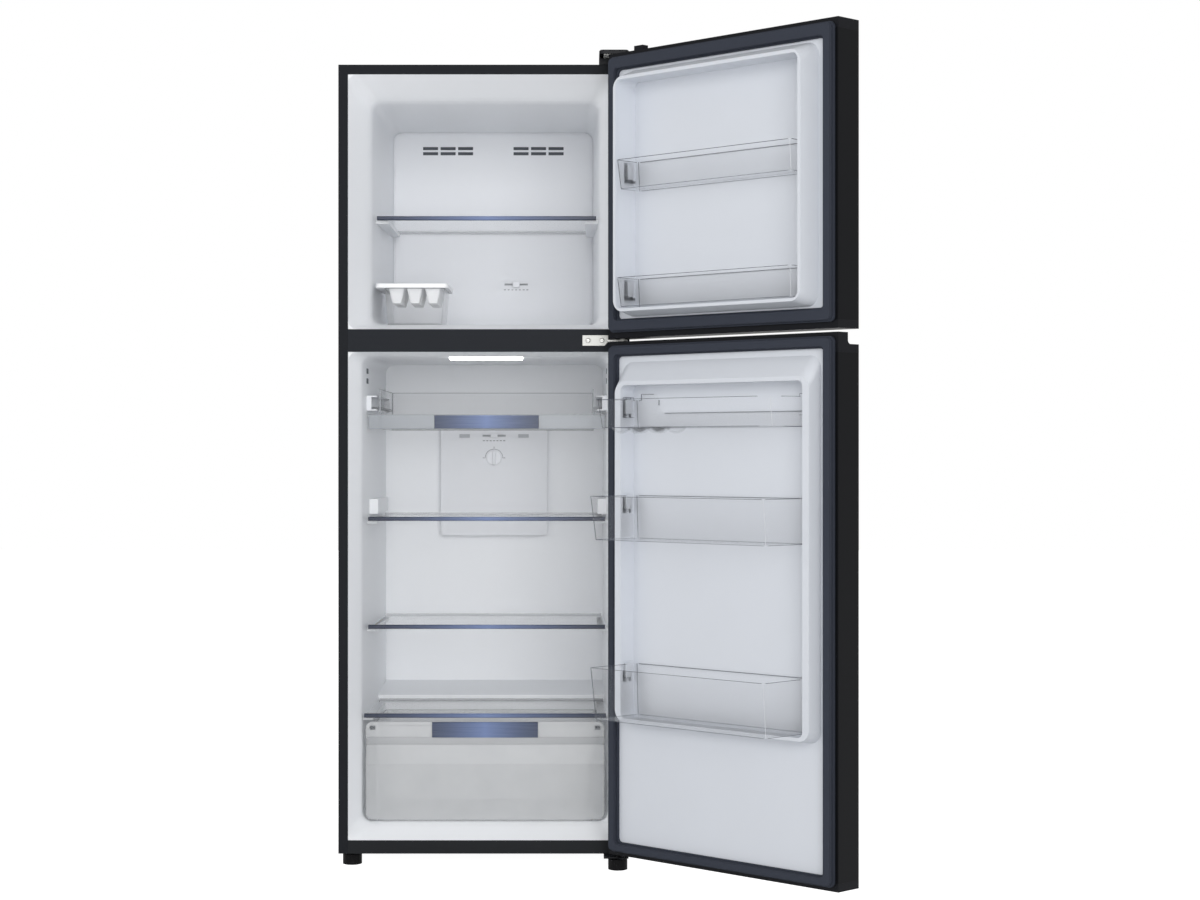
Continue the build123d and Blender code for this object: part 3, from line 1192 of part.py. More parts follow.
def egg_bin(low):
    """The top bin of the fridge door: egg cups in its floor, and a low back that rises at the hinge end."""
    form, floor = fridge_form(), FRIDGE_POCKET_FLOOR
    half = bin_half(form)
    back = -DOOR_GAP + floor + BIN_BACK_GAP
    tray = door_bin(low, EGG_BIN_HEIGHT, EGG_BIN_FRONT, form, floor, FRIDGE_HOOK_RISE, EGG_BIN_ROUND)
    end = half - EGG_RAISED_END_GAP
    step = end - EGG_RAISED_LENGTH
    gap = block(-HALF, step, back - PAST, back + BIN_WALL, low + EGG_BACK_HEIGHT, low + EGG_BIN_HEIGHT + PAST)
    tray -= fillet(gap.edges().filter_by(Axis.Y).sort_by(lambda e: e.center().X - e.center().Z)[-1],
                   EGG_RAISED_ROUND)
    wall = block(step, end, back, back + BIN_WALL, low + EGG_BACK_HEIGHT, low + EGG_RAISED_HEIGHT)
    tray += fillet(wall.edges().filter_by(Axis.Y).sort_by(lambda e: e.center().Z - e.center().X)[-1],
                   EGG_RAISED_ROUND)
    below = block(-HALF, HALF, -HALF, HALF, low - 2 * EGG_CUP_RADIUS, low + BIN_WALL)
    for column in range(EGG_CUP_COLUMNS):
        x = half - EGG_CUP_END_GAP - column * EGG_CUP_PITCH
        for front in EGG_CUP_FRONTS:
            place = Pos(x, -DOOR_GAP + front, low + EGG_CUP_RISE)
            tray = tray + (place * Sphere(EGG_CUP_RADIUS) & below) - place * Sphere(EGG_CUP_RADIUS - BIN_WALL)
    return tray


def inset_pair(insets):
    """Two places across the cabinet, given as distances from its right side."""
    return HALF - insets[0], HALF - insets[1]


def hinge_leaf(x0, x1, rear_y, z0):
    """A flat leaf that narrows to a rounded tip around the hinge line."""
    leaf = block(x0, x1, PIVOT_Y, rear_y, z0, z0 + HINGE_PLATE)
    return leaf + post(HINGE_TIP_RADIUS, PIVOT_X, PIVOT_Y, z0, z0 + HINGE_PLATE)


def top_hinge():
    """A cranked bracket on the cabinet's top, with its pin in the freezer door."""
    x0, x1 = inset_pair(TOP_HINGE_INSETS)
    front, rear = TOP_HINGE_Y
    bracket = block(x0, x1, front, rear, CABINET_TOP, CABINET_TOP + HINGE_PLATE)
    bracket += block(x0, x1, front, front + HINGE_PLATE, CABINET_TOP, ARM_LOW + HINGE_PLATE)
    bracket += hinge_leaf(x0, x1, front + HINGE_PLATE, ARM_LOW)
    bracket += post(PIN_RADIUS, PIVOT_X, PIVOT_Y, FREEZER_DOOR_HIGH - PIN_LENGTH, ARM_LOW)
    for inset, y in TOP_SCREWS:
        bracket -= post(SCREW_RADIUS + SCREW_GAP, HALF - inset, y, CABINET_TOP - PAST,
                        CABINET_TOP + HINGE_PLATE + PAST)
    return bracket


def top_hinge_cover():
    """A cap over the top hinge: closed to the front above the cabinet, and a thin roof above the door."""
    x0, x1 = inset_pair(HINGE_COVER_INSETS)
    y0, y1 = HINGE_COVER_Y
    wall, high = HINGE_COVER_WALL, CABINET_TOP + HINGE_COVER_HEIGHT
    cap = block(x0, x1, y0, y1, CABINET_TOP, high)
    cap = fillet(cap.edges().filter_by(Axis.Z), HINGE_COVER_RADIUS)
    cap = chamfer(cap.faces().sort_by(Axis.Z)[-1].edges(), HINGE_COVER_EDGE)
    cap -= block(x0 + wall, x1 - wall, y0 + wall, y1 - wall, ARM_LOW, high - wall)
    cap -= block(x0 + wall, x1 - wall, HINGE_COVER_FRONT_Y + wall, y1 - wall, CABINET_TOP, ARM_LOW)
    return cap - block(x0 - PAST, x1 + PAST, y0 - PAST, HINGE_COVER_FRONT_Y, CABINET_TOP, ARM_LOW)


def middle_plate_levels():
    low = FRIDGE_DOOR_HIGH - MIDDLE_PLATE_DROP
    return low, low + MIDDLE_PLATE_HEIGHT


def middle_hinge():
    """A plate on the mullion with an arm between the doors and a pin up and down."""
    x0, x1 = inset_pair(MIDDLE_PLATE_INSETS)
    z0, z1 = middle_plate_levels()
    plate = block(x0, x1, -HINGE_PLATE, 0, z0, z1)
    corner = plate.edges().filter_by(Axis.Y).sort_by(lambda e: e.center().X - e.center().Z)[-1]
    arm_low = (FRIDGE_DOOR_HIGH + FREEZER_DOOR_LOW - HINGE_PLATE) / 2
    hinge = chamfer(corner, MIDDLE_PLATE_CORNER)
    hinge += hinge_leaf(x1 - LEAF_OVERLAP, HALF - MIDDLE_LEAF_INSET, 0, arm_low)
    hinge += post(PIN_RADIUS, PIVOT_X, PIVOT_Y, FRIDGE_DOOR_HIGH - PIN_LENGTH, FREEZER_DOOR_LOW + PIN_LENGTH)
    for inset in MIDDLE_SCREW_INSETS:
        hinge -= rod(SCREW_RADIUS + SCREW_GAP, HALF - inset, (z0 + z1) / 2, -HINGE_PLATE - PAST, PAST)
    return hinge


def bottom_hinge():
    """A leaf under the base, with its pin in the fridge door and a threaded hole for the right foot."""
    x0, x1 = inset_pair(BOTTOM_HINGE_INSETS)
    low = CABINET_BOTTOM - HINGE_PLATE
    hinge = hinge_leaf(x0, x1, BOTTOM_HINGE_REAR_Y, low)
    hinge += post(PIN_RADIUS, PIVOT_X, PIVOT_Y, low, FRIDGE_DOOR_LOW + PIN_LENGTH)
    hinge -= post(STEM_RADIUS + RUNNING_GAP, *RIGHT_FOOT, low - PAST, CABINET_BOTTOM + PAST)
    for inset, y in BOTTOM_SCREWS:
        hinge -= post(SCREW_RADIUS + SCREW_GAP, HALF - inset, y, low - PAST, CABINET_BOTTOM + PAST)
    return hinge


def hinge_screws():
    """Every hinge screw: a round head on the plate and a shank through it."""
    screws = []
    seat = CABINET_TOP + HINGE_PLATE
    for inset, y in TOP_SCREWS:
        x = HALF - inset
        head = post(SCREW_HEAD_RADIUS, x, y, seat, seat + SCREW_HEAD)
        screws.append(head + post(SCREW_RADIUS, x, y, CABINET_TOP, seat))
    middle = sum(middle_plate_levels()) / 2
    for inset in MIDDLE_SCREW_INSETS:
        x = HALF - inset
        head = rod(SCREW_HEAD_RADIUS, x, middle, -HINGE_PLATE - SCREW_HEAD, -HINGE_PLATE)
        screws.append(head + rod(SCREW_RADIUS, x, middle, -HINGE_PLATE, 0))
    seat = CABINET_BOTTOM - HINGE_PLATE
    for inset, y in BOTTOM_SCREWS:
        x = HALF - inset
        head = post(SCREW_HEAD_RADIUS, x, y, seat - SCREW_HEAD, seat)
        screws.append(head + post(SCREW_RADIUS, x, y, seat, CABINET_BOTTOM))
    return screws


def levelling_foot(place, stem_high):
    """A round pad on a neck and a threaded stem."""
    pad = post(FOOT_RADIUS, *place, 0, FOOT_PAD)
    pad = chamfer(pad.edges().sort_by(Axis.Z)[0], FOOT_EDGE)
    neck = post(FOOT_NECK_RADIUS, *place, FOOT_PAD, FOOT_NECK_HIGH)
    return pad + neck + post(STEM_RADIUS, *place, FOOT_NECK_HIGH, stem_high)


def roller(x):
    place = Pos(x, ROLLER_Y, ROLLER_RADIUS) * Rot(0, 90, 0)
    wheel = place * Cylinder(ROLLER_RADIUS, ROLLER_WIDTH)
    return wheel - place * Cylinder(AXLE_RADIUS + RUNNING_GAP, ROLLER_WIDTH)


def compressor():
    """A welded shell on a foot plate, with the relay box on its side."""
    x, y = COMPRESSOR_X, COMPRESSOR_Y
    shell = post(COMPRESSOR_RADIUS, x, y, SHELL_LOW, SHELL_HIGH)
    shell = fillet(shell.edges().sort_by(Axis.Z)[-1], COMPRESSOR_ROUND)
    seam = SHELL_LOW + COMPRESSOR_HEIGHT * SEAM_SHARE
    shell += post(SEAM_RADIUS, x, y, seam, seam + SEAM_HEIGHT)
    half_x, half_y = MOUNT_PITCH[0] / 2 + FOOT_PLATE_MARGIN, MOUNT_PITCH[1] / 2 + FOOT_PLATE_MARGIN
    plate = lying(x - half_x, x + half_x, y - half_y, y + half_y, FOOT_PLATE_LOW, FOOT_PLATE_RADIUS)
    shell += extrude(plate, amount=FOOT_PLATE)
    length, width, height = RELAY_BOX
    x0, z0 = x + COMPRESSOR_RADIUS - RELAY_SUNK, SHELL_LOW + RELAY_RISE
    return shell + block(x0, x0 + length, y - width / 2, y + width / 2, z0, z0 + height)


def compressor_mounts():
    dx, dy = MOUNT_PITCH
    places = [(COMPRESSOR_X + i * dx / 2, COMPRESSOR_Y + j * dy / 2) for i in (-1, 1) for j in (-1, 1)]
    return [post(MOUNT_RADIUS, x, y, DECK_HIGH, FOOT_PLATE_LOW) for x, y in places]


def evaporating_tray():
    """The pan on the compressor that dries up the defrost water."""
    length, width, height = PAN_SIZE
    x, y = COMPRESSOR_X, COMPRESSOR_Y
    mouth = (x - length / 2, x + length / 2, y - width / 2, y + width / 2)
    return tub(grown(mouth, -PAN_DRAFT), mouth, SHELL_HIGH, SHELL_HIGH + height, PAN_WALL, PAN_RADIUS)


def tube(*points):
    """A bent tube along a path of straight runs."""
    path = FilletPolyline(*points, radius=TUBE_BEND)
    return sweep(path.location_at(0) * Circle(TUBE_RADIUS), path=path)


def refrigerant_tubes():
    """The hot line with its drier and the cold line, from the compressor to the roof of its room."""
    side, y = COMPRESSOR_X - COMPRESSOR_RADIUS, COMPRESSOR_Y
    far, high = side - HOT_TUBE_REACH, SHELL_HIGH - HOT_TUBE_DROP
    hot = tube((side, y, high), (far, y, high), (far, y, BAY_HIGH))
    drier = post(DRIER_RADIUS, far, y, high + DRIER_RISE, high + DRIER_RISE + DRIER_LENGTH)
    near, low, back = side - COLD_TUBE_REACH, SHELL_HIGH - COLD_TUBE_DROP, y - COLD_TUBE_OFFSET
    cold = tube((side, y, low), (near, y, low), (near, back, low), (near, back, BAY_HIGH))
    return [hot + drier, cold]


def machine_cover():
    """The slotted plate that closes the machine room at the rear."""
    plate = block(-INSIDE, INSIDE, CABINET_DEPTH - SHEET, CABINET_DEPTH, DECK_HIGH, BAY_HIGH + TRAY_SHEET)
    width, height = COVER_SLOT
    for row in range(COVER_SLOT_ROWS):
        z = DECK_HIGH + COVER_SLOT_RISE + row * COVER_SLOT_PITCH
        for column in range(COVER_SLOT_COLUMNS):
            x = (column - (COVER_SLOT_COLUMNS - 1) / 2) * COVER_SLOT_STEP
            plate -= block(x - width / 2, x + width / 2, CABINET_DEPTH - SHEET - PAST, CABINET_DEPTH + PAST,
                           z, z + height)
    return plate


def shelves():
    """Each shelf's glass and trim, by the shelf's name."""
    across = (SHELF_FRONT_Y, SHELF_REAR_Y, SHELF_HALF, SHELF_HALF - SHELF_TAPER)
    sizes = {
        "freezer_shelf": (FREEZER_SHELF_LOW, FREEZER_SHELF_FRONT_Y, FREEZER_SHELF_REAR_Y,
                          FREEZER_SHELF_HALF, FREEZER_SHELF_HALF - FREEZER_SHELF_TAPER),
        "upper_shelf": (UPPER_SHELF_LOW, *across),
        "lower_shelf": (LOWER_SHELF_LOW, *across),
        "crisper_cover": (COVER_LOW, COVER_FRONT_Y, COVER_REAR_Y, COVER_HALF, COVER_HALF - COVER_TAPER),
    }
    made = {}
    for name, size in sizes.items():
        made[name + "_glass"] = shelf_glass(*size)
        made[name + "_trim"] = shelf_trim(*size)
    return made


def boss_tops(lows, heights, rise):
    """Where the bosses end that carry bins of these floors and heights."""
    return [low + height + rise - HOOK_ROOF for low, height in zip(lows, heights)]


def freezer_door():
    form, floor, rise = freezer_form(), FREEZER_POCKET_FLOOR, FREEZER_HOOK_RISE
    low, high = FREEZER_DOOR_LOW + BOTTOM_CAP, FREEZER_DOOR_HIGH - TOP_CAP
    lows = freezer_bin_lows()
    tops = boss_tops(lows, [FREEZER_BIN_HEIGHT] * len(lows), rise)
    made = {
        "freezer_door_panel": door_panel(low, high),
        "freezer_door_caps": freezer_door_caps(),
        "freezer_door_foam": door_foam(low, high, form, FREEZER_DYKE_HEIGHT, floor),
        "freezer_door_liner": door_liner(low, high, form, FREEZER_DYKE_HEIGHT, floor, tops),
        "freezer_door_gasket": gasket(FREEZER_DOOR_LOW, FREEZER_DOOR_HIGH, FREEZER_GASKET_MARGINS),
    }
    for name, bin_low in zip(("freezer_bin_lower", "freezer_bin_upper"), lows):
        made[name] = door_bin(bin_low, FREEZER_BIN_HEIGHT, FREEZER_BIN_FRONT, form, floor, rise)
    return made


def fridge_door():
    form, floor, rise = fridge_form(), FRIDGE_POCKET_FLOOR, FRIDGE_HOOK_RISE
    low, high = FRIDGE_DOOR_LOW + BOTTOM_CAP, FRIDGE_DOOR_HIGH - GRIP_CAP
    egg_low, middle_low, lower_low = fridge_bin_lows()
    heights = (EGG_BIN_HEIGHT, MIDDLE_BIN_HEIGHT, LOWER_BIN_HEIGHT)
    tops = boss_tops((egg_low, middle_low, lower_low), heights, rise)
    return {
        "fridge_door_panel": door_panel(low, high),
        "fridge_door_caps": fridge_door_caps(),
        "fridge_door_foam": door_foam(low, high, form, FRIDGE_DYKE_HEIGHT, floor),
        "fridge_door_liner": door_liner(low, FRIDGE_DOOR_HIGH - FLANGE_TOP_MARGIN, form, FRIDGE_DYKE_HEIGHT,
                                        floor, tops),
        "fridge_door_gasket": gasket(FRIDGE_DOOR_LOW, FRIDGE_DOOR_HIGH, FRIDGE_GASKET_MARGINS),
        "fridge_bin_upper": egg_bin(egg_low),
        "fridge_bin_middle": door_bin(middle_low, MIDDLE_BIN_HEIGHT, DEEP_BIN_FRONT, form, floor, rise),
        "fridge_bin_lower": door_bin(lower_low, LOWER_BIN_HEIGHT, DEEP_BIN_FRONT, form, floor, rise),
    }


def cabinet():
    return {
        "outer_shell": outer_shell(),
        "rear_panel": rear_panel(),
        "base_tray": base_tray(),
        "insulation": insulation(),
        "freezer_liner": freezer_liner(),
        "fridge_liner": fridge_liner(),
        "mullion_rail": mullion_rail(),
        "evaporator_cover": evaporator_cover(),
        "evaporator": evaporator(),
        "fan_motor": fan_motor(),
        "air_duct_cover": air_duct_cover(),
        "lamp_lens": lamp_lens(),
        "chiller_rails": chiller_rails(),
        "top_hinge": top_hinge(),
        "top_hinge_cover": top_hinge_cover(),
        "middle_hinge": middle_hinge(),
        "bottom_hinge": bottom_hinge(),
        "hinge_screws": hinge_screws(),
        "compressor": compressor(),
        "compressor_mounts": compressor_mounts(),
        "evaporating_tray": evaporating_tray(),
        "refrigerant_tubes": refrigerant_tubes(),
        "machine_cover": machine_cover(),
    }


def movable():
    return {
        "left_foot": levelling_foot(LEFT_FOOT, CABINET_BOTTOM + NUT_HEIGHT),
        "right_foot": levelling_foot(RIGHT_FOOT, CABINET_BOTTOM + STEM_END),
        "left_roller": roller(-ROLLER_X),
        "right_roller": roller(ROLLER_X),
        "fan_blade": fan_blade(),
        "temperature_knob": temperature_knob(),
        "airflow_slider": control_slider(0, AIR_SLOT_Z, AIR_SLOT_SIZE, DUCT_Y, DUCT_WALL),
        "freezer_slider": control_slider(FREEZER_SLOT_X, FREEZER_SLOT_Z, FREEZER_SLOT_SIZE, EVAP_COVER_Y,
                                         EVAP_COVER_WALL),
        "crisper_drawer": crisper_drawer(),
        "crisper_handle": crisper_handle(),
        "chiller_tray": chiller_tray(),
        "chiller_plate": chiller_plate(),
        "ice_bucket": ice_bucket(),
        "ice_tray": ice_tray(),
    }


def as_list(made):
    return made if isinstance(made, list) else [made]


def save(name, pieces):
    """Write one node: every separate solid of its pieces."""
    export_step(Compound([solid for piece in pieces for solid in piece.solids()]), f"parts/{name}.step")


def main():
    os.makedirs("parts", exist_ok=True)
    for name, made in {**cabinet(), **movable(), **shelves()}.items():
        save(name, as_list(made))
    for name, made in {**freezer_door(), **fridge_door()}.items():
        save(name, [opened(piece) for piece in as_list(made)])


main()
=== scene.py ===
"""Looks for an open top-freezer refrigerator: finishes for its solids, small repeated pieces and a studio.

Metres, in the frame of the solids: X runs to the right, Y to the back and Z up from the floor.
"""
import json
import math

import bmesh
import bpy
from mathutils import Matrix, Vector


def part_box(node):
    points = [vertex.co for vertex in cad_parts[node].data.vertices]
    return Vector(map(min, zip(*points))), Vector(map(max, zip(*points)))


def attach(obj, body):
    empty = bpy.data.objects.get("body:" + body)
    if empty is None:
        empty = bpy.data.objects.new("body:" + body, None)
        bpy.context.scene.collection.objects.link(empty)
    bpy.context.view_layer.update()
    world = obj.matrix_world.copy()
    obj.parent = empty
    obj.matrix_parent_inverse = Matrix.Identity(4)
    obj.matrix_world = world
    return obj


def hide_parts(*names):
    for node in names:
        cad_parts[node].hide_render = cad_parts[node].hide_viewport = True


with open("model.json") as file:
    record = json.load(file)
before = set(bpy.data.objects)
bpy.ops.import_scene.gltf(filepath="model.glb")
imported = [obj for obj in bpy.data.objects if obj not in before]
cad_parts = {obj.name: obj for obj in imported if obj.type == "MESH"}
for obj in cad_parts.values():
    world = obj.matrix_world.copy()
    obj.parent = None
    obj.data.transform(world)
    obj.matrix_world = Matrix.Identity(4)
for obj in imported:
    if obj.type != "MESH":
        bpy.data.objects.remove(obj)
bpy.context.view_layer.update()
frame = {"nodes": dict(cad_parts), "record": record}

bl_info = {
    "name": "Open top-freezer refrigerator",
    "version": (1, 0, 0),
    "blender": (4, 5, 0),
    "location": "3D View > Sidebar > Refrigerator",
    "description": "Finishes, small pieces and a studio for the refrigerator's solids",
    "category": "Object",
}

NODES = frame["nodes"]
SLOT_OF = {part["node"]: part["material_slot"] for part in frame["record"]["subparts"]}
BODY_OF = {node: body for body, nodes in frame["record"]["behaviour"]["bodies"].items() for node in nodes}

# the hinge line that carries both doors, and how far they stand open at rest
PIVOT = Vector((0.259, -0.037, 0.0))
DOOR_OPEN = math.radians(135)
DOOR_INNER_Y = -0.013

# each door bin's floor and rim, and how far its back, and its front at the floor and at the rim, stand out
BIN_SIZES = {"freezer_bin_upper": (1.2531, 1.3066, -0.0116, 0.0425, 0.0490),
             "freezer_bin_lower": (1.0390, 1.0925, -0.0116, 0.0425, 0.0490),
             "fridge_bin_upper": (0.8185, 0.8700, -0.0076, 0.0910, 0.1000),
             "fridge_bin_middle": (0.6170, 0.6960, -0.0076, 0.1075, 0.1180),
             "fridge_bin_lower": (0.2940, 0.3880, -0.0076, 0.1075, 0.1180)}
# a bin's half width at its floor and at its rim, and how far inside the sharp corner its corner lines run
BIN_HALVES = (0.2035, 0.2065)
BIN_CORNER = 0.0029

# each gasket's outer and inner edge below, then its inner and outer edge above, and the same two half widths
GASKETS = {"freezer_door": (0.9955, 1.0200, 1.4780, 1.5040), "fridge_door": (0.0385, 0.0570, 0.9510, 0.9715)}
GASKET_HALVES = (0.265, 0.244)

# the hinge plates' thickness and the height of the screws in the middle one
HINGE_PLATE = 0.003
MIDDLE_SCREWS_Z = 0.98375

# vents of the evaporator cover: the two groups, the pitch of their columns and the two rows
VENT_GROUPS = (-0.093, 0.093)
VENT_PITCH = 0.036
VENT_ROWS = (1.3885, 1.3990)
SLAT_TILT = (math.radians(20), 0, 0)
SLAT_DEPTH = 0.0044

# slots in the fridge's side walls, which hold dark plates that paint the shade inside them
WALL_SLOT_X, WALL_SLOT_Y = 0.2306, 0.133
WALL_SLOT_ROWS = (0.912, 0.931)

# the sliding controls' windows in the duct cover and in the evaporator cover, and the scales below them
DUCT_CONTROL = (0.0, 0.809)
FREEZER_CONTROL = (0.047, 1.1195)
CONTROL_DEPTH = 0.0061
DUCT_VENT_X, DUCT_VENT_Z, DUCT_VENT_DEPTH = 0.061, 0.8085, 0.0016
DUCT_SCALE = (0.7985, 0.021)
FREEZER_SCALE = (1.1085, 0.023)
SCALE_STEPS = 7
UPRIGHT = (0, 0, 0)

# dark bars that paint the shade of the vent openings at both ends of the drawer's front, below its rim
SLIT_X, SLIT_DROP, SLIT_PITCH = 0.2125, 0.0088, 0.0028

# ribs on the drawer's floor, and around each foot
DRAWER_RIB = (0.006, 0.21, 0.0036)
DRAWER_RIB_PITCH = 0.05
FOOT_RIBS = 36
FOOT_RIB_WIDTH, FOOT_RIB_HEIGHT, FOOT_RIB_Z = 0.0026, 0.0190, 0.0102


def shade(red, green, blue):
    """A colour as it is seen on a screen, 0 to 255, as the linear values that shaders use."""
    screen = (red, green, blue)
    return tuple(((c / 255 + 0.055) / 1.055) ** 2.4 if c > 10 else c / 255 / 12.92 for c in screen)


def scaled(colour, factor):
    return tuple(min(1.0, c * factor) for c in colour)


def on_door(x, out, z):
    """A point of a closed door, out from its inner plane, carried to where the doors rest."""
    closed = Vector((x, DOOR_INNER_Y + out, z)) - PIVOT
    return Matrix.Rotation(DOOR_OPEN, 4, "Z") @ closed + PIVOT


def colour_prop(name, description, default):
    return bpy.props.FloatVectorProperty(name=name, description=description, subtype="COLOR", size=3,
                                         min=0.0, max=1.0, default=default)


def length_prop(name, description, default):
    return bpy.props.FloatProperty(name=name, description=description, unit="LENGTH", default=default)


def power_prop(name, description, default):
    return bpy.props.FloatProperty(name=name, description=description, unit="POWER", default=default)


def number_prop(name, description, default):
    return bpy.props.FloatProperty(name=name, description=description, default=default)


class Link:
    """A node's output that takes part in Python arithmetic, where each step adds a Math node."""

    def __init__(self, nodes, socket):
        self.nodes = nodes
        self.socket = socket

    def math(self, operation, *values):
        return self.nodes.add("ShaderNodeMath", {"operation": operation}, dict(enumerate(values)))

    def __add__(self, other):
        return self.math("ADD", self, other)

    def __sub__(self, other):
        return self.math("SUBTRACT", self, other)

    def __rsub__(self, other):
        return self.math("SUBTRACT", other, self)

    def __mul__(self, other):
        return self.math("MULTIPLY", self, other)

    def __truediv__(self, other):
        return self.math("DIVIDE", self, other)

    def __pow__(self, other):
        return self.math("POWER", self, other)

    def __abs__(self):
        return self.math("ABSOLUTE", self)

    __radd__ = __add__
    __rmul__ = __mul__

    def above(self, level):
        return self.math("GREATER_THAN", self, level)

    def most(self, other):
        return self.math("MAXIMUM", self, other)

    def least(self, other):
        return self.math("MINIMUM", self, other)


class Nodes:
    """One node tree and the single way to add a node to it."""

    def __init__(self, tree):
        self.tree = tree

    def add(self, kind, settings=None, sockets=None, output=0):
        """Adds a node with its settings first, then its sockets' values or links, and gives one output."""
        node = self.tree.nodes.new(kind)
        for name, value in (settings or {}).items():
            setattr(node, name, value)
        for key, value in (sockets or {}).items():
            if isinstance(value, Link):
                self.tree.links.new(value.socket, node.inputs[key])
            else:
                node.inputs[key].default_value = value
        return Link(self, node.outputs[output]) if len(node.outputs) else node


class Finish(Nodes):
    """A material: one Principled shader and the nodes that feed it."""
    made = {}

    def __init__(self, name, **constants):
        material = bpy.data.materials.new(name + "_finish")
        self.made[name] = material
        material.use_nodes = True
        super().__init__(material.node_tree)
        self.tree.nodes.clear()
        self.shader = self.tree.nodes.new("ShaderNodeBsdfPrincipled")
        for key, value in constants.items():
            self.feed(key.replace("_", " ").title().replace("Ior", "IOR"), value)
        self.add("ShaderNodeOutputMaterial", None, {"Surface": Link(self, self.shader.outputs[0])})

    def feed(self, socket, value):
        if isinstance(value, Link):
            self.tree.links.new(value.socket, self.shader.inputs[socket])
        elif isinstance(value, tuple):
            self.shader.inputs[socket].default_value = (*value, 1.0)
        else:
            self.shader.inputs[socket].default_value = value

    def place(self, scale=(1, 1, 1), turn=0.0):
        """Object coordinates, turned about the vertical and stretched."""
        spot = self.add("ShaderNodeTexCoord", None, None, "Object")
        turned = {"Vector": spot, "Rotation": (0, 0, -turn)}
        return self.add("ShaderNodeMapping", {"vector_type": "POINT"}, {**turned, "Scale": scale})

    def noise(self, size, detail=2.0, stretch=(1, 1, 1), turn=0.0):
        sockets = {"Vector": self.place(stretch, turn), "Scale": size, "Detail": detail}
        return self.add("ShaderNodeTexNoise", None, sockets, "Fac")

    def mix(self, factor, first, second):
        """A colour between two, by a factor over the surface."""
        pair = {0: factor, 6: first, 7: second}
        ends = {key: (*value, 1.0) if isinstance(value, tuple) else value for key, value in pair.items()}
        return self.add("ShaderNodeMix", {"data_type": "RGBA"}, ends, 2)

    def axis(self, index):
        spot = self.add("ShaderNodeTexCoord", None, None, "Object")
        return self.add("ShaderNodeSeparateXYZ", None, {0: spot}, index)

    def bump(self, height, strength, distance, radius=0.0):
        """A bump on the surface, over edges that a small radius softens."""
        sockets = {"Height": height, "Strength": strength, "Distance": distance}
        if radius:
            sockets["Normal"] = self.add("ShaderNodeBevel", {"samples": 4}, {"Radius": radius})
        self.feed("Normal", self.add("ShaderNodeBump", None, sockets))


def moulded(name, colour, roughness, grain=0.2, grain_size=900.0, mottle=0.03, edge=0.0015, specular=0.5):
    """Moulded plastic: a fine grain, a faint cloudiness and softened edges."""
    finish = Finish(name, specular_IOR_level=specular)
    cloud = finish.noise(7.0, 3.0)
    fine = finish.noise(grain_size, 1.0)
    finish.feed("Base Color", finish.mix(cloud, scaled(colour, 1 - mottle), scaled(colour, 1 + mottle)))
    finish.feed("Roughness", roughness + (fine - 0.5) * 0.12)
    finish.bump(fine, grain, 0.0002, edge)


def painted(name, colour, roughness, peel=0.12, specular=0.35):
    """Painted sheet steel: the slight waviness of a sprayed coat."""
    mottle = 0.05
    finish = Finish(name, specular_IOR_level=specular)
    wave = finish.noise(160.0, 2.0)
    cloud = finish.noise(4.0, 2.0)
    finish.feed("Base Color", finish.mix(cloud, scaled(colour, 1 - mottle), scaled(colour, 1 + mottle)))
    finish.feed("Roughness", roughness + (cloud - 0.5) * 0.08)
    finish.bump(wave, peel, 0.0003, 0.001)


def hairline(name, colour, roughness, turn, streak, specular):
    """Steel with upright brush marks, in the plane of a door that stands open by an angle."""
    finish = Finish(name, specular_IOR_level=specular)
    lines = finish.noise(1.0, 4.0, (1400.0, 1400.0, 6.0), turn)
    finish.feed("Base Color", finish.mix(lines, scaled(colour, 1 - streak), scaled(colour, 1 + streak)))
    finish.feed("Roughness", roughness + (lines - 0.5) * 0.2)
    finish.bump(lines, 0.08, 0.0002, 0.001)


def metal(name, colour, roughness, grain_size=500.0, stretch=(1, 1, 1)):
    """Bare or plated metal with a fine grain."""
    finish = Finish(name, metallic=1.0)
    grain = finish.noise(grain_size, 3.0, stretch)
    finish.feed("Base Color", finish.mix(grain, scaled(colour, 0.86), scaled(colour, 1.06)))
    finish.feed("Roughness", roughness + (grain - 0.5) * 0.18)
    finish.bump(grain, 0.1, 0.0002, 0.0008)


def slate_bar(name, ends, middle, half, rear=None, pale=(1, 1, 1)):
    """A glossy bar whose lighter middle is a painted reflection, brushed along its length, with a pale clear
    one at its rear.
    """
    finish = Finish(name, specular_IOR_level=0.3)
    across = abs(finish.axis(0)) / half
    # painted reflection: the colour goes from the ends' colour to the lighter one towards the middle
    glow = (1 - across.least(1.0)) ** 1.6
    marks = finish.noise(1.0, 3.0, (12.0, 900.0, 1800.0))
    colour = finish.mix((glow + (marks - 0.5) * 0.14).most(0.0), ends, middle)
    if rear:
        behind = finish.axis(1).above(rear)
        colour = finish.mix(behind, colour, pale)
        finish.feed("Alpha", 1 - behind * 0.6)
    finish.feed("Base Color", colour)
    finish.feed("Roughness", 0.28 + (marks - 0.5) * 0.15)
    finish.bump(marks, 0.06, 0.0002, 0.0008)


def see_through(name, tint, roughness, face, edge, cloudy=0.0):
    """Clear or frosted plastic, which thickens where it is seen edge on."""
    finish = Finish(name)
    graze = finish.add("ShaderNodeLayerWeight", None, {"Blend": 0.5}, "Facing")
    haze = finish.noise(14.0, 2.0)
    fine = finish.noise(700.0, 1.0)
    body = face + (edge - face) * graze ** 4.0 + (haze - 0.5) * cloudy
    finish.feed("Base Color", finish.mix(haze, scaled(tint, 0.97), tint))
    finish.feed("Alpha", body.least(1.0).most(0.0))
    finish.feed("Roughness", roughness + (fine - 0.5) * 0.08)
    finish.bump(fine, 0.05, 0.0001)


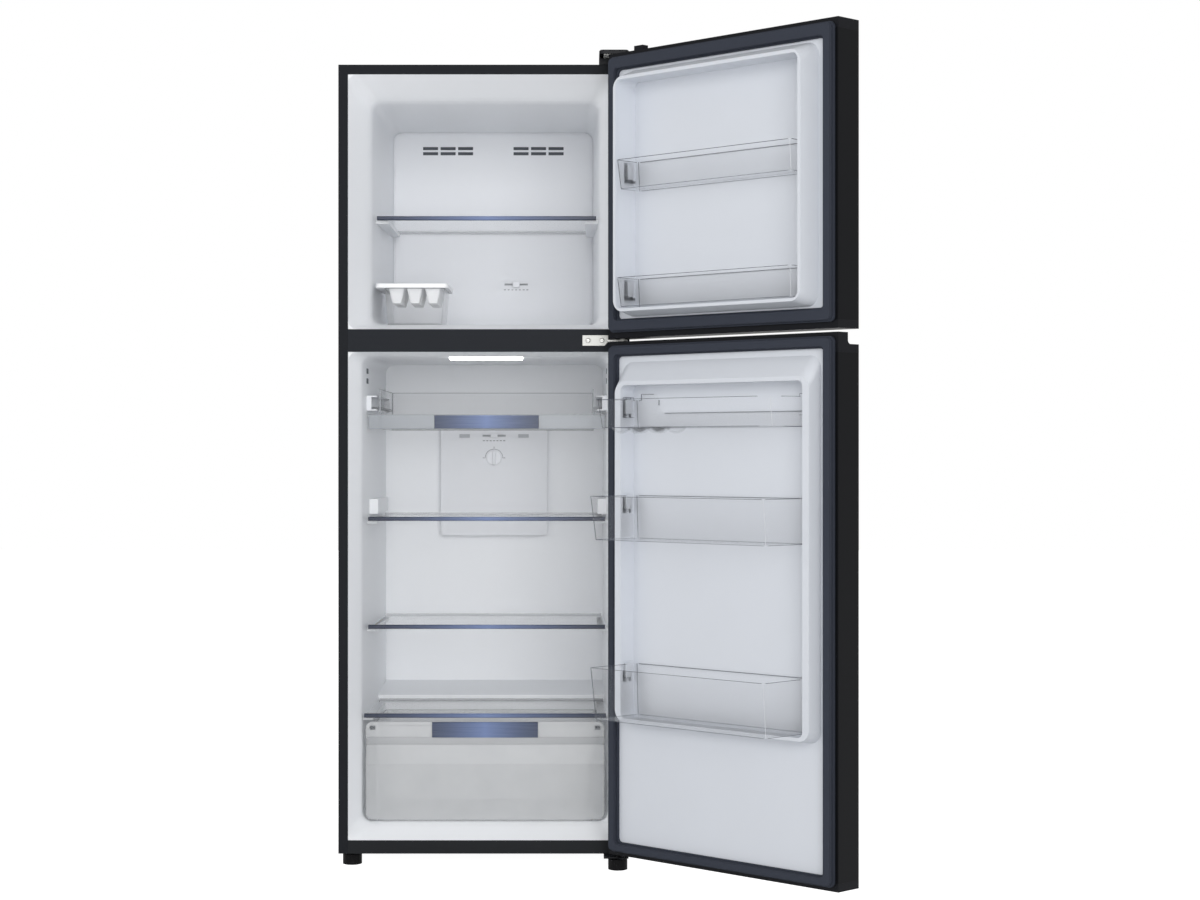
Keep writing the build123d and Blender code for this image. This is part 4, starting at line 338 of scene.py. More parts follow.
def tray_plastic(name, tint, strip, strip_back, roughness, face, strip_face):
    """Clear plastic whose front strip is denser, and darker with painted shade of the zone seen through it.
    """
    finish = Finish(name, roughness=roughness)
    front = 1 - finish.axis(1).above(strip_back)
    haze = finish.noise(14.0, 2.0)
    # painted shade: the front strip takes the darker tint
    finish.feed("Base Color", finish.mix(front, tint, strip))
    finish.feed("Alpha", face + front * (strip_face - face) + (haze - 0.5) * 0.04)
    finish.bump(finish.noise(700.0, 1.0), 0.05, 0.0001)


def lamp_lens_finish(name, colour, strength, lit_depth):
    """The lens, lit along its front and ribbed along its length to spread the light."""
    finish = Finish(name, roughness=0.4, emission_strength=strength)
    ribs = finish.add("ShaderNodeMath", {"operation": "SINE"}, {0: finish.axis(0) * 2500.0})
    unlit = finish.axis(1).above(lit_depth)
    finish.feed("Base Color", colour)
    glow = finish.mix(ribs * 0.5 + 0.5, scaled(colour, 0.9), colour)
    finish.feed("Emission Color", finish.mix(unlit, glow, scaled(colour, 0.01)))


class RefrigeratorColours(bpy.types.PropertyGroup):
    """The colours that a user would change."""
    cabinet: colour_prop("Cabinet", "Painted steel around the two rooms", shade(28, 30, 34))
    door: colour_prop("Doors", "Steel skin of the doors", shade(12, 13, 16))
    cap: colour_prop("Door caps", "Mouldings above and below the door skins", shade(20, 21, 25))
    base: colour_prop("Base", "Sill and bottom deck", shade(26, 28, 31))
    liner: colour_prop("Liners", "Moulded walls of the two rooms", shade(244, 246, 249))
    door_liner: colour_prop("Door liners", "Moulded inner faces of the doors", shade(214, 218, 225))
    cover: colour_prop("Covers", "Evaporator cover, duct cover and rails", shade(236, 238, 242))
    gasket: colour_prop("Gaskets", "Door seals", shade(54, 58, 68))
    hinge: colour_prop("Hinges", "Plated hinge plates", shade(192, 192, 189))
    slate_end: colour_prop("Bar ends", "Shelf bars and plates at their ends", shade(50, 56, 72))
    # painted reflection: the lighter colour in the middle of the shelf bars and plates
    slate_reflection: colour_prop("Bar middle", "Shelf bars and plates in their middle", shade(112, 130, 172))
    clear: colour_prop("Clear plastic", "Door bins", shade(222, 226, 234))
    clear_rim: colour_prop("Clear rims", "Rims of the clear pieces", shade(72, 77, 88))
    drawer: colour_prop("Drawer", "Crisper drawer", shade(246, 248, 250))
    frost: colour_prop("Frosted plastic", "Chiller tray and ice bucket", shade(228, 230, 233))
    frost_rim: colour_prop("Frosted rims", "Edges of the frosted pieces", shade(88, 92, 98))
    # painted shade: the darker tint of the chiller tray's front strip
    chiller_strip_shade: colour_prop("Chiller front", "Front strip of the chiller tray", shade(176, 181, 187))
    glass: colour_prop("Glass", "Shelf glass", shade(232, 238, 240))
    mark: colour_prop("Marks", "Printed marks beside the controls", shade(72, 76, 84))
    rear: colour_prop("Rear", "Rear panel and machine cover", shade(176, 178, 180))


class RefrigeratorPieces(bpy.types.PropertyGroup):
    """The sizes of the small pieces."""
    screw_radius: length_prop("Screw head", "Radius of a hinge screw's head", 0.0046)
    screw_height: length_prop("Screw height", "Height of a hinge screw's head", 0.0026)
    foot_rib: length_prop("Foot rib", "How far a rib of a foot stands out", 0.0008)
    edge_bead: length_prop("Edge bead", "Radius of the bead along a clear piece's edges", 0.00038)
    hook_height: length_prop("Hook height", "Edges of a bin as short as its hooks' get no bead", 0.038)
    egg_edge: length_prop("Egg bin edge", "Edges of the egg bin that are shorter get no bead", 0.004)
    fold: length_prop("Gasket fold", "Radius of a fold along a gasket", 0.0011)
    cover_seal: length_prop("Cover seal", "Radius of the seal around the evaporator cover", 0.0016)
    dial_radius: length_prop("Dial", "Radius of the arc around the knob", 0.0182)
    mark_thick: length_prop("Marks", "How far a printed mark stands out", 0.0002)


class RefrigeratorStage(bpy.types.PropertyGroup):
    """The camera and the lights."""
    focal: bpy.props.FloatProperty(
        name="Lens", description="Focal length on a 36 mm sensor", subtype="DISTANCE_CAMERA", default=69.93)
    camera: bpy.props.FloatVectorProperty(
        name="Camera", description="Where the camera stands", subtype="TRANSLATION", unit="LENGTH",
        default=(0.1953, -4.362, 0.775))
    shift: bpy.props.FloatVectorProperty(
        name="Shift", description="The frame's offset from the lens axis", size=2, default=(0.00975, 0.00175))
    front_light: power_prop("Front light", "Soft light beside the camera", 116.0)
    side_light: power_prop("Side light", "Soft light from the left", 25.0)
    sky: number_prop("Sky", "Even light from all around", 0.55)
    floor_glow: number_prop("Floor glow", "What the floor adds to reach white in the picture", 0.95)


def colours():
    return bpy.context.scene.refrigerator_colours


def pieces():
    return bpy.context.scene.refrigerator_pieces


def rgb(name):
    return tuple(getattr(colours(), name))


def dress(*slots):
    """Gives every solid of these finishes its material."""
    for node, slot in SLOT_OF.items():
        if slot in slots:
            NODES[node].material_slots[0].material = Finish.made[slot]


class GeometryTree(Nodes):
    """A geometry node tree with named inputs, which ends in realized, finished faces."""

    def __init__(self, name, **inputs):
        super().__init__(bpy.data.node_groups.new(name, "GeometryNodeTree"))
        face = self.tree.interface
        face.new_socket("Geometry", in_out="INPUT", socket_type="NodeSocketGeometry")
        self.keys = {}
        for key, kind in {**inputs, "Material": "Material"}.items():
            self.keys[key] = face.new_socket(key, in_out="INPUT", socket_type="NodeSocket" + kind).identifier
        face.new_socket("Geometry", in_out="OUTPUT", socket_type="NodeSocketGeometry")
        self.group = self.tree.nodes.new("NodeGroupInput")

    def given(self, key):
        return Link(self, self.group.outputs[key])

    def end(self, geometry):
        whole = self.add("GeometryNodeRealizeInstances", None, {0: geometry})
        sockets = {"Geometry": whole, "Material": self.given("Material")}
        self.add("NodeGroupOutput", None, {0: self.add("GeometryNodeSetMaterial", None, sockets)})
        return self


def shapes_tree():
    """A shape at every point, its Z along the point's own axis."""
    tree = GeometryTree("shapes_on_points", Shape="Object")
    axis = tree.add("GeometryNodeInputNamedAttribute", {"data_type": "FLOAT_VECTOR"}, {"Name": "axis"})
    turn = tree.add("FunctionNodeAlignRotationToVector", {"axis": "Z"}, {"Vector": axis})
    shape = tree.add("GeometryNodeObjectInfo", None, {"Object": tree.given("Shape")}, "Geometry")
    sockets = {"Points": tree.given("Geometry"), "Instance": shape, "Rotation": turn}
    return tree.end(tree.add("GeometryNodeInstanceOnPoints", None, sockets))


def bars_tree():
    """A bar at every point, tilted about X."""
    tree = GeometryTree("bars_on_points", Bar="Vector", Tilt="Rotation")
    cube = tree.add("GeometryNodeMeshCube", None, {"Size": tree.given("Bar")})
    sockets = {"Points": tree.given("Geometry"), "Instance": cube, "Rotation": tree.given("Tilt")}
    return tree.end(tree.add("GeometryNodeInstanceOnPoints", None, sockets))


def ring_tree():
    """Upright ribs around a round pad."""
    tree = GeometryTree("ribs_in_a_ring", Count="Int", Radius="Float", Rib="Vector", Centre="Vector")
    sizes = {"Vertices": tree.given("Count"), "Radius": tree.given("Radius")}
    ring = tree.add("GeometryNodeMeshCircle", None, sizes)
    outward = tree.add("GeometryNodeInputPosition")
    turn = tree.add("FunctionNodeAlignRotationToVector", {"axis": "X"}, {"Vector": outward})
    cube = tree.add("GeometryNodeMeshCube", None, {"Size": tree.given("Rib")})
    sockets = {"Points": ring, "Instance": cube, "Rotation": turn}
    ribs = tree.add("GeometryNodeInstanceOnPoints", None, sockets)
    placed = {"Geometry": ribs, "Translation": tree.given("Centre")}
    return tree.end(tree.add("GeometryNodeTransform", None, placed))


def bead_tree():
    """A round bead along a path whose corners are rounded."""
    tree = GeometryTree("bead_along_path", Bead="Float", Corner="Float")
    path = tree.add("GeometryNodeMeshToCurve", None, {0: tree.given("Geometry")})
    rounded = tree.add("GeometryNodeFilletCurve", {"mode": "POLY"},
                       {"Curve": path, "Count": 6, "Radius": tree.given("Corner"), "Limit Radius": True})
    ring = tree.add("GeometryNodeCurvePrimitiveCircle", None, {"Resolution": 8, "Radius": tree.given("Bead")})
    sockets = {"Curve": rounded, "Profile Curve": ring, "Fill Caps": True}
    bead = tree.add("GeometryNodeCurveToMesh", None, sockets)
    return tree.end(tree.add("GeometryNodeSetShadeSmooth", None, {"Geometry": bead}))


def edges_tree():
    """A fine bead just inside every sharp outer edge of a solid that is long enough."""
    tree = GeometryTree("beads_on_edges", Bead="Float", Angle="Float", Shortest="Float")
    sockets = {"Geometry": tree.given("Geometry"), "Distance": 0.00001}
    whole = tree.add("GeometryNodeMergeByDistance", None, sockets)
    inward = {0: tree.add("GeometryNodeInputNormal"), "Scale": tree.given("Bead") * -2.0}
    offset = tree.add("ShaderNodeVectorMath", {"operation": "SCALE"}, inward)
    sunk = tree.add("GeometryNodeSetPosition", None, {"Geometry": whole, "Offset": offset})
    angle = tree.add("GeometryNodeInputMeshEdgeAngle", None, None, "Signed Angle")
    ends = {i: tree.add("GeometryNodeInputMeshEdgeVertices", None, None, f"Position {i + 1}") for i in (0, 1)}
    length = tree.add("ShaderNodeVectorMath", {"operation": "DISTANCE"}, ends, "Value")
    chosen = angle.above(tree.given("Angle")) * length.above(tree.given("Shortest"))
    path = tree.add("GeometryNodeMeshToCurve", None, {"Mesh": sunk, "Selection": chosen})
    ring = tree.add("GeometryNodeCurvePrimitiveCircle", None, {"Resolution": 6, "Radius": tree.given("Bead")})
    return tree.end(tree.add("GeometryNodeCurveToMesh", None,
                             {"Curve": path, "Profile Curve": ring, "Fill Caps": True}))


def arc_tree():
    """Ticks along an arc that stands upright and looks to the front."""
    tree = GeometryTree("ticks_on_an_arc", Count="Int", Radius="Float", Start="Float", Sweep="Float",
                        Tick="Vector", Centre="Vector")
    arc = tree.add("GeometryNodeCurveArc", {"mode": "RADIUS"},
                   {"Resolution": tree.given("Count"), "Radius": tree.given("Radius"),
                    "Start Angle": tree.given("Start"), "Sweep Angle": tree.given("Sweep")})
    points = tree.add("GeometryNodeCurveToPoints", {"mode": "EVALUATED"}, {"Curve": arc})
    outward = tree.add("GeometryNodeInputPosition")
    turn = tree.add("FunctionNodeAlignRotationToVector", {"axis": "X"}, {"Vector": outward})
    cube = tree.add("GeometryNodeMeshCube", None, {"Size": tree.given("Tick")})
    sockets = {"Points": points, "Instance": cube, "Rotation": turn}
    ticks = tree.add("GeometryNodeInstanceOnPoints", None, sockets)
    upright = {"Geometry": ticks, "Translation": tree.given("Centre"), "Rotation": (math.pi / 2, 0, 0)}
    return tree.end(tree.add("GeometryNodeTransform", None, upright))


def points_mesh(name, points, axes=None, loops=(), path=()):
    """Loose points, with an axis each where given, or with closed loops of edges or one open path."""
    mesh = bpy.data.meshes.new(name)
    edges = [(a, b) for loop in loops for a, b in zip(loop, loop[1:] + loop[:1])]
    edges += zip(path, path[1:])
    mesh.from_pydata([tuple(p) for p in points], edges, [])
    if axes:
        store = mesh.attributes.new("axis", "FLOAT_VECTOR", "POINT")
        store.data.foreach_set("vector", [c for axis in axes for c in axis])
    return mesh


def grow(name, tree, mesh, body, slot, material, **values):
    """Runs a tree on a mesh, keeps the result as a plain piece and lets it ride on a body."""
    piece = bpy.data.objects.new(name, mesh)
    bpy.context.scene.collection.objects.link(piece)
    modifier = piece.modifiers.new("grow", "NODES")
    modifier.node_group = tree.tree
    for key, value in {**values, "Material": Finish.made[material]}.items():
        modifier[tree.keys[key]] = value
    bpy.context.view_layer.update()
    evaluated = piece.evaluated_get(bpy.context.evaluated_depsgraph_get())
    piece.data = bpy.data.meshes.new_from_object(evaluated)
    piece.modifiers.clear()
    if not piece.data.polygons:
        raise RuntimeError(f"{name} came out empty")
    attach(piece, body)
    return piece


def screw_shape(radius, height):
    """A domed head with a cross recess, standing on Z = 0, kept out of the scene."""
    rings = ((1.0, 0.0), (1.0, 0.35), (0.9, 0.72), (0.66, 0.94), (0.4, 1.0))
    steps = 24
    form = bmesh.new()
    loops = []
    circle = [(math.cos(2 * math.pi * i / steps), math.sin(2 * math.pi * i / steps)) for i in range(steps)]
    for share, rise in rings:
        reach = radius * share
        loops.append([form.verts.new((reach * x, reach * y, height * rise)) for x, y in circle])
    for lower, upper in zip(loops, loops[1:]):
        for i in range(steps):
            form.faces.new((lower[i], lower[(i + 1) % steps], upper[(i + 1) % steps], upper[i]))
    form.faces.new(reversed(loops[0]))
    slot, arm = radius * 0.11, radius * 0.4
    deep = height * 0.35
    cross = [(arm, slot), (slot, slot), (slot, arm), (-slot, arm), (-slot, slot), (-arm, slot),
             (-arm, -slot), (-slot, -slot), (-slot, -arm), (slot, -arm), (slot, -slot), (arm, -slot)]
    brim = [form.verts.new((x, y, height)) for x, y in cross]
    floor = [form.verts.new((x, y, deep)) for x, y in cross]
    count = len(cross)
    for i in range(count):
        form.faces.new((brim[(i + 1) % count], brim[i], floor[i], floor[(i + 1) % count]))
    form.faces.new(floor)
    pairs = [pair for ring in (loops[-1], brim) for pair in zip(ring, ring[1:] + ring[:1])]
    edges = [form.edges.get(pair) or form.edges.new(pair) for pair in pairs]
    bmesh.ops.triangle_fill(form, use_beauty=True, edges=edges)
    bmesh.ops.recalc_face_normals(form, faces=form.faces)
    mesh = bpy.data.meshes.new("screw_shape")
    form.to_mesh(mesh)
    form.free()
    return bpy.data.objects.new("screw_shape", mesh)


class REFRIGERATOR_OT_finishes(bpy.types.Operator):
    """Mix every finish that the refrigerator's solids and small pieces wear"""
    bl_idname = "refrigerator.finishes"
    bl_label = "Finishes"

    def execute(self, context):
        painted("cabinet_steel", rgb("cabinet"), 0.5, specular=0.08)
        # the mullion rail's lighter copy of the cabinet paint is a painted reflection
        painted("mullion_steel", scaled(rgb("cabinet"), 1.5), 0.5, specular=0.08)
        painted("base_steel", rgb("base"), 0.5, specular=0.12)
        painted("rear_steel", rgb("rear"), 0.55, peel=0.2)
        painted("compressor_black", shade(26, 26, 28), 0.3)
        hairline("door_steel", rgb("door"), 0.42, DOOR_OPEN, streak=0.3, specular=0.07)
        moulded("cap_black", rgb("cap"), 0.5, specular=0.08)
        moulded("hinge_cover_black", scaled(rgb("cap"), 1.2), 0.4, specular=0.15)
        moulded("liner_white", rgb("liner"), 0.36, grain=0.1, mottle=0.015, edge=0.0)
        moulded("door_liner_white", rgb("door_liner"), 0.34, grain=0.1, mottle=0.015, edge=0.0)
        moulded("cover_white", rgb("cover"), 0.4, grain=0.12, mottle=0.012, edge=0.0)
        moulded("control_white", scaled(rgb("cover"), 1.03), 0.32, grain=0.08, mottle=0.01)
        moulded("ice_white", shade(252, 253, 255), 0.38, grain=0.08, mottle=0.01)
        moulded("gasket_grey", rgb("gasket"), 0.65, grain=0.35, specular=0.12)
        moulded("foot_black", shade(12, 12, 14), 0.55, specular=0.1)
        moulded("grommet_rubber", shade(20, 20, 20), 0.75, specular=0.2)
        moulded("pan_grey", shade(158, 161, 164), 0.5)
        moulded("motor_grey", shade(96, 97, 99), 0.5)
        moulded("fan_grey", shade(206, 208, 210), 0.42)
        moulded("louvre_grey", shade(98, 102, 108), 0.6, specular=0.2)
        moulded("mark_grey", rgb("mark"), 0.6, grain=0.05, edge=0.0)
        moulded("foam", shade(232, 214, 160), 0.9, grain=0.8, grain_size=350.0, mottle=0.1)
        metal("hinge_steel", rgb("hinge"), 0.6)
        metal("screw_steel", scaled(rgb("hinge"), 0.85), 0.3)
        metal("fin_aluminium", shade(205, 208, 210), 0.4, 300.0, (1, 1, 20))
        metal("tube_copper", shade(206, 132, 92), 0.35)
        # the shelf trims and the plates carry a painted reflection that lightens their middle
        slate_bar("shelf_trim", rgb("slate_end"), rgb("slate_reflection"), 0.2275, 0.2, rgb("frost"))
        slate_bar("plate_slate", scaled(rgb("slate_end"), 1.6), rgb("slate_reflection"), 0.12)
        see_through("shelf_glass", rgb("glass"), 0.06, 0.02, 0.14)
        see_through("bin_clear", rgb("clear"), 0.08, 0.012, 0.4)
        see_through("drawer_clear", rgb("drawer"), 0.25, 0.3, 0.7, 0.04)
        # the chiller tray's darker front strip is painted shade
        tray_plastic("chiller_clear", rgb("frost"), rgb("chiller_strip_shade"), 0.1165, 0.25, 0.07, 0.6)
        see_through("bucket_clear", rgb("frost"), 0.15, 0.1, 0.7, 0.03)
        moulded("clear_edge", rgb("clear_rim"), 0.25, grain=0.05, edge=0.0)
        # a painted highlight for the bins' rounded front corners
        moulded("clear_shine", shade(238, 240, 244), 0.2, grain=0.05, edge=0.0)
        moulded("frost_edge", rgb("frost_rim"), 0.3, grain=0.05, edge=0.0)
        moulded("insert_pale", shade(190, 193, 198), 0.5, grain=0.05, edge=0.0)
        low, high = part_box("lamp_lens")
        lamp_lens_finish("lamp_white", shade(255, 254, 250), 12.0, (low.y + high.y) / 2)
        return {"FINISHED"}


class REFRIGERATOR_OT_cabinet(bpy.types.Operator):
    """Dress the cabinet's steel, its liners and the hinges"""
    bl_idname = "refrigerator.cabinet"
    bl_label = "Cabinet"

    def execute(self, context):
        dress("cabinet_steel", "base_steel", "rear_steel", "foam", "liner_white", "hinge_steel",
              "hinge_cover_black", "lamp_white", "foot_black")
        NODES["bottom_hinge"].material_slots[0].material = Finish.made["hinge_cover_black"]
        # the rail's lighter paint is a painted reflection
        NODES["mullion_rail"].material_slots[0].material = Finish.made["mullion_steel"]
        return {"FINISHED"}


class REFRIGERATOR_OT_cooling(bpy.types.Operator):
    """Dress the covers, the controls and the cooling parts"""
    bl_idname = "refrigerator.cooling"
    bl_label = "Cooling parts"

    def execute(self, context):
        dress("cover_white", "control_white", "fin_aluminium", "motor_grey", "fan_grey", "compressor_black",
              "grommet_rubber", "pan_grey", "tube_copper")
        return {"FINISHED"}


class REFRIGERATOR_OT_doors(bpy.types.Operator):
    """Dress both doors and their bins"""
    bl_idname = "refrigerator.doors"
    bl_label = "Doors"

    def execute(self, context):
        dress("door_steel", "cap_black", "door_liner_white", "gasket_grey", "bin_clear")
        return {"FINISHED"}


class REFRIGERATOR_OT_fittings(bpy.types.Operator):
    """Dress the shelves, the drawers and the ice pieces"""
    bl_idname = "refrigerator.fittings"
    bl_label = "Fittings"

    def execute(self, context):
        dress("shelf_glass", "shelf_trim", "drawer_clear", "plate_slate", "ice_white", "bucket_clear")
        NODES["chiller_tray"].material_slots[0].material = Finish.made["chiller_clear"]
        return {"FINISHED"}


class REFRIGERATOR_OT_screws(bpy.types.Operator):
    """Make the hinge screws with cross recesses"""
    bl_idname = "refrigerator.screws"
    bl_label = "Hinge screws"

    def execute(self, context):
        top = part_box("outer_shell")[1].z + HINGE_PLATE
        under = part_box("bottom_hinge")[0].z
        seats = {(0, 0, 1): [(0.236, 0.020, top), (0.256, 0.020, top), (0.246, 0.048, top)],
                 (0, -1, 0): [(x, -HINGE_PLATE, MIDDLE_SCREWS_Z) for x in (0.1947, 0.2209)],
                 (0, 0, -1): [(x, 0.028, under) for x in (0.240, 0.258)]}
        points = [seat for group in seats.values() for seat in group]
        axes = [axis for axis, group in seats.items() for seat in group]
        shape = screw_shape(pieces().screw_radius, pieces().screw_height)
        mesh = points_mesh("hinge_screw_seats", points, axes)
        heads = grow("hinge_screw_heads", shapes_tree(), mesh, "cabinet", "screw_steel", "screw_steel",
                     Shape=shape)
        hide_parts("hinge_screws")
        return {"FINISHED"}


class REFRIGERATOR_OT_foot_ribs(bpy.types.Operator):
    """Make the ribs around both levelling feet"""
    bl_idname = "refrigerator.foot_ribs"
    bl_label = "Foot ribs"

    def execute(self, context):
        tree = ring_tree()
        for side in ("left", "right"):
            low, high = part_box(side + "_foot")
            radius = (high.x - low.x) / 2 - pieces().foot_rib / 2
            centre = ((low.x + high.x) / 2, (low.y + high.y) / 2, FOOT_RIB_Z)
            rib = (2 * pieces().foot_rib, FOOT_RIB_WIDTH, FOOT_RIB_HEIGHT)
            name = side + "_foot_ribs"
            grow(name, tree, points_mesh(name, [centre]), side + "_foot", "foot_black", "foot_black",
                 Count=FOOT_RIBS, Radius=radius, Rib=rib, Centre=centre)
        return {"FINISHED"}


class REFRIGERATOR_OT_louvres(bpy.types.Operator):
    """Make the slats in the freezer's vents, the inserts in the slots, among them dark plates that paint the
    shade in the wall slots, and dark bars that paint the shade of the drawer's vent openings
    """
    bl_idname = "refrigerator.louvres"
    bl_label = "Vent slats"

    def execute(self, context):
        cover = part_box("evaporator_cover")[0].y
        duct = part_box("air_duct_cover")[0].y
        slats = [(group + column * VENT_PITCH, cover + SLAT_DEPTH, row) for group in VENT_GROUPS
                 for column in (-1, 0, 1) for row in VENT_ROWS]
        # dark plates in the wall slots: painted shade
        inserts = [(side * WALL_SLOT_X, WALL_SLOT_Y, row) for side in (-1, 1) for row in WALL_SLOT_ROWS]
        windows = ((duct, DUCT_CONTROL), (cover, FREEZER_CONTROL))
        strips = [(x, face + CONTROL_DEPTH, z) for face, (x, z) in windows]
        vents = [(side * DUCT_VENT_X, duct + DUCT_VENT_DEPTH, DUCT_VENT_Z) for side in (-1, 1)]
        low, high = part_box("crisper_drawer")
        # thin dark bars at the drawer's vent openings: painted shade
        slit_shades = [(side * SLIT_X, low.y + 0.0002, high.z - SLIT_DROP - SLIT_PITCH * i)
                 for side in (-1, 1) for i in range(3)]
        kinds = (("vent_slats", slats, "motor_grey", "louvre_grey", (0.0345, 0.0009, 0.0092)),
                 ("wall_slot_inserts", inserts, "motor_grey", "louvre_grey", (0.0012, 0.0298, 0.0098)),
                 ("slot_strips", strips, "cover_white", "insert_pale", (0.056, 0.0008, 0.010)),
                 ("duct_vent_inserts", vents, "cover_white", "insert_pale", (0.0216, 0.0008, 0.0071)),
                 ("drawer_vent_slits", slit_shades, "plate_slate", "louvre_grey", (0.0102, 0.0006, 0.0014)))
        tree = bars_tree()
        for name, points, slot, material, bar in kinds:
            body = "crisper" if points is slit_shades else "cabinet"
            tilt = SLAT_TILT if points is slats else UPRIGHT
            grow(name, tree, points_mesh(name, points), body, slot, material, Bar=bar, Tilt=tilt)
        return {"FINISHED"}


class REFRIGERATOR_OT_marks(bpy.types.Operator):
    """Make the plain scale marks beside the controls"""
    bl_idname = "refrigerator.marks"
    bl_label = "Scale marks"

    def execute(self, context):
        thick = pieces().mark_thick
        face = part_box("air_duct_cover")[0].y
        low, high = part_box("temperature_knob")
        knob = ((low.x + high.x) / 2, face, (low.z + high.z) / 2)
        radius = pieces().dial_radius
        empty = points_mesh("dial", [knob])
        tree = arc_tree()
        whole = {"Start": 0.0, "Sweep": math.pi, "Centre": knob}
        grow("dial_line", tree, empty, "cabinet", "motor_grey", "mark_grey", Count=49, Radius=radius,
             Tick=(0.0007, radius * math.pi / 46, 2 * thick), **whole)
        grow("dial_ticks", tree, empty.copy(), "cabinet", "motor_grey", "mark_grey", Count=3,
             Radius=radius + 0.0032, Tick=(0.0042, 0.0009, 2 * thick), **whole)
        bars = bars_tree()
        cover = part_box("evaporator_cover")[0].y
        rows = {"airflow_scale": (DUCT_CONTROL[0], face, *DUCT_SCALE),
                "freezer_scale": (FREEZER_CONTROL[0], cover, *FREEZER_SCALE)}
        for name, (x, y, z, reach) in rows.items():
            spots = [(x + reach * (2 * i / (SCALE_STEPS - 1) - 1), y, z) for i in range(SCALE_STEPS)]
            grow(name, bars, points_mesh(name, spots), "cabinet", "motor_grey", "mark_grey",
                 Bar=(0.0042, 2 * thick, 0.0012), Tilt=UPRIGHT)
        return {"FINISHED"}


class REFRIGERATOR_OT_gasket_folds(bpy.types.Operator):
    """Make the folds that run along both sides of each gasket's lip"""
    bl_idname = "refrigerator.gasket_folds"
    bl_label = "Gasket folds"

    def execute(self, context):
        tree = bead_tree()
        inset, out = 0.0035, 0.0085
        outer, inner = GASKET_HALVES
        for body, (outer_low, inner_low, inner_high, outer_high) in GASKETS.items():
            rings = ((outer - inset, outer_low + inset, outer_high - inset),
                     (inner + inset, inner_low - inset, inner_high + inset))
            points = [on_door(x, out, z) for half, low, high in rings
                      for x, z in ((-half, low), (half, low), (half, high), (-half, high))]
            mesh = points_mesh(body + "_folds", points, None, ([0, 1, 2, 3], [4, 5, 6, 7]))
            grow(body + "_gasket_folds", tree, mesh, body, "gasket_grey", "gasket_grey", Bead=pieces().fold,
                 Corner=0.008)
        return {"FINISHED"}


class REFRIGERATOR_OT_cover_seal(bpy.types.Operator):
    """Make the pale seal in the groove around the evaporator cover"""
    bl_idname = "refrigerator.cover_seal"
    bl_label = "Cover seal"

    def execute(self, context):
        low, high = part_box("evaporator_cover")
        inset, depth = 0.0006, 0.0014
        left, right, top = low.x + inset, high.x - inset, high.z - inset
        outline = ((left, low.z), (left, top), (right, top), (right, low.z))
        points = [(x, low.y + depth, z) for x, z in outline]
        mesh = points_mesh("evaporator_cover_seal", points, path=(0, 1, 2, 3))
        grow("evaporator_cover_seal", bead_tree(), mesh, "cabinet", "cover_white", "cover_white",
             Bead=pieces().cover_seal, Corner=0.0166)
        return {"FINISHED"}


class REFRIGERATOR_OT_drawer_ribs(bpy.types.Operator):
    """Make the ribs on the crisper's floor"""
    bl_idname = "refrigerator.drawer_ribs"
    bl_label = "Drawer ribs"

    def execute(self, context):
        low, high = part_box("crisper_drawer")
        middle = (low.y + high.y) / 2
        floor = low.z + 0.0024
        mesh = points_mesh("drawer_ribs", [(x * DRAWER_RIB_PITCH, middle, floor) for x in range(-3, 4)])
        grow("drawer_ribs", bars_tree(), mesh, "crisper", "drawer_clear", "drawer_clear", Bar=DRAWER_RIB,
             Tilt=UPRIGHT)
        return {"FINISHED"}


class REFRIGERATOR_OT_clear_edges(bpy.types.Operator):
    """Make the fine dark lines along the edges of the clear pieces"""
    bl_idname = "refrigerator.clear_edges"
    bl_label = "Clear edges"

    def execute(self, context):
        tree = edges_tree()
        frosted = {node: ("frost_edge", 0.0) for node in ("crisper_drawer", "chiller_tray", "ice_bucket")}
        clear = {node: ("clear_edge", pieces().hook_height) for node in BIN_SIZES}
        clear["fridge_bin_upper"] = ("clear_edge", pieces().egg_edge)
        for node, (material, shortest) in {**frosted, **clear}.items():
            grow(node + "_edges", tree, NODES[node].data.copy(), BODY_OF[node], SLOT_OF[node], material,
                 Bead=pieces().edge_bead, Angle=math.radians(40), Shortest=shortest)
        line = bead_tree()
        for node in BIN_SIZES:
            self.corners(node, line)
        return {"FINISHED"}

    def corners(self, node, tree):
        """Lines up the rounded corners of a bin: dark ones, and at the free end of its front a pale one that
        is a painted highlight.
        """
        low, high, back, front_low, front_high = BIN_SIZES[node]
        dark, pale = [], []
        for side in (-1, 1):
            x_low, x_high = (side * (half - BIN_CORNER) for half in BIN_HALVES)
            dark.append(((x_low, back + BIN_CORNER, low), (x_high, back + BIN_CORNER, high)))
            front = ((x_low, front_low - BIN_CORNER, low), (x_high, front_high - BIN_CORNER, high))
            # the pale line at the free end is a painted highlight along that rounded corner
            (dark if side > 0 else pale).append(front)
        for name, material, lines in (("corners", "clear_edge", dark), ("fold", "clear_shine", pale)):
            points = [on_door(*point) for line in lines for point in line]
            pairs = [[2 * i, 2 * i + 1] for i in range(len(lines))]
            grow(f"{node}_{name}", tree, points_mesh(node + name, points, None, pairs), BODY_OF[node],
                 SLOT_OF[node], material, Bead=1.2 * pieces().edge_bead, Corner=0.0)


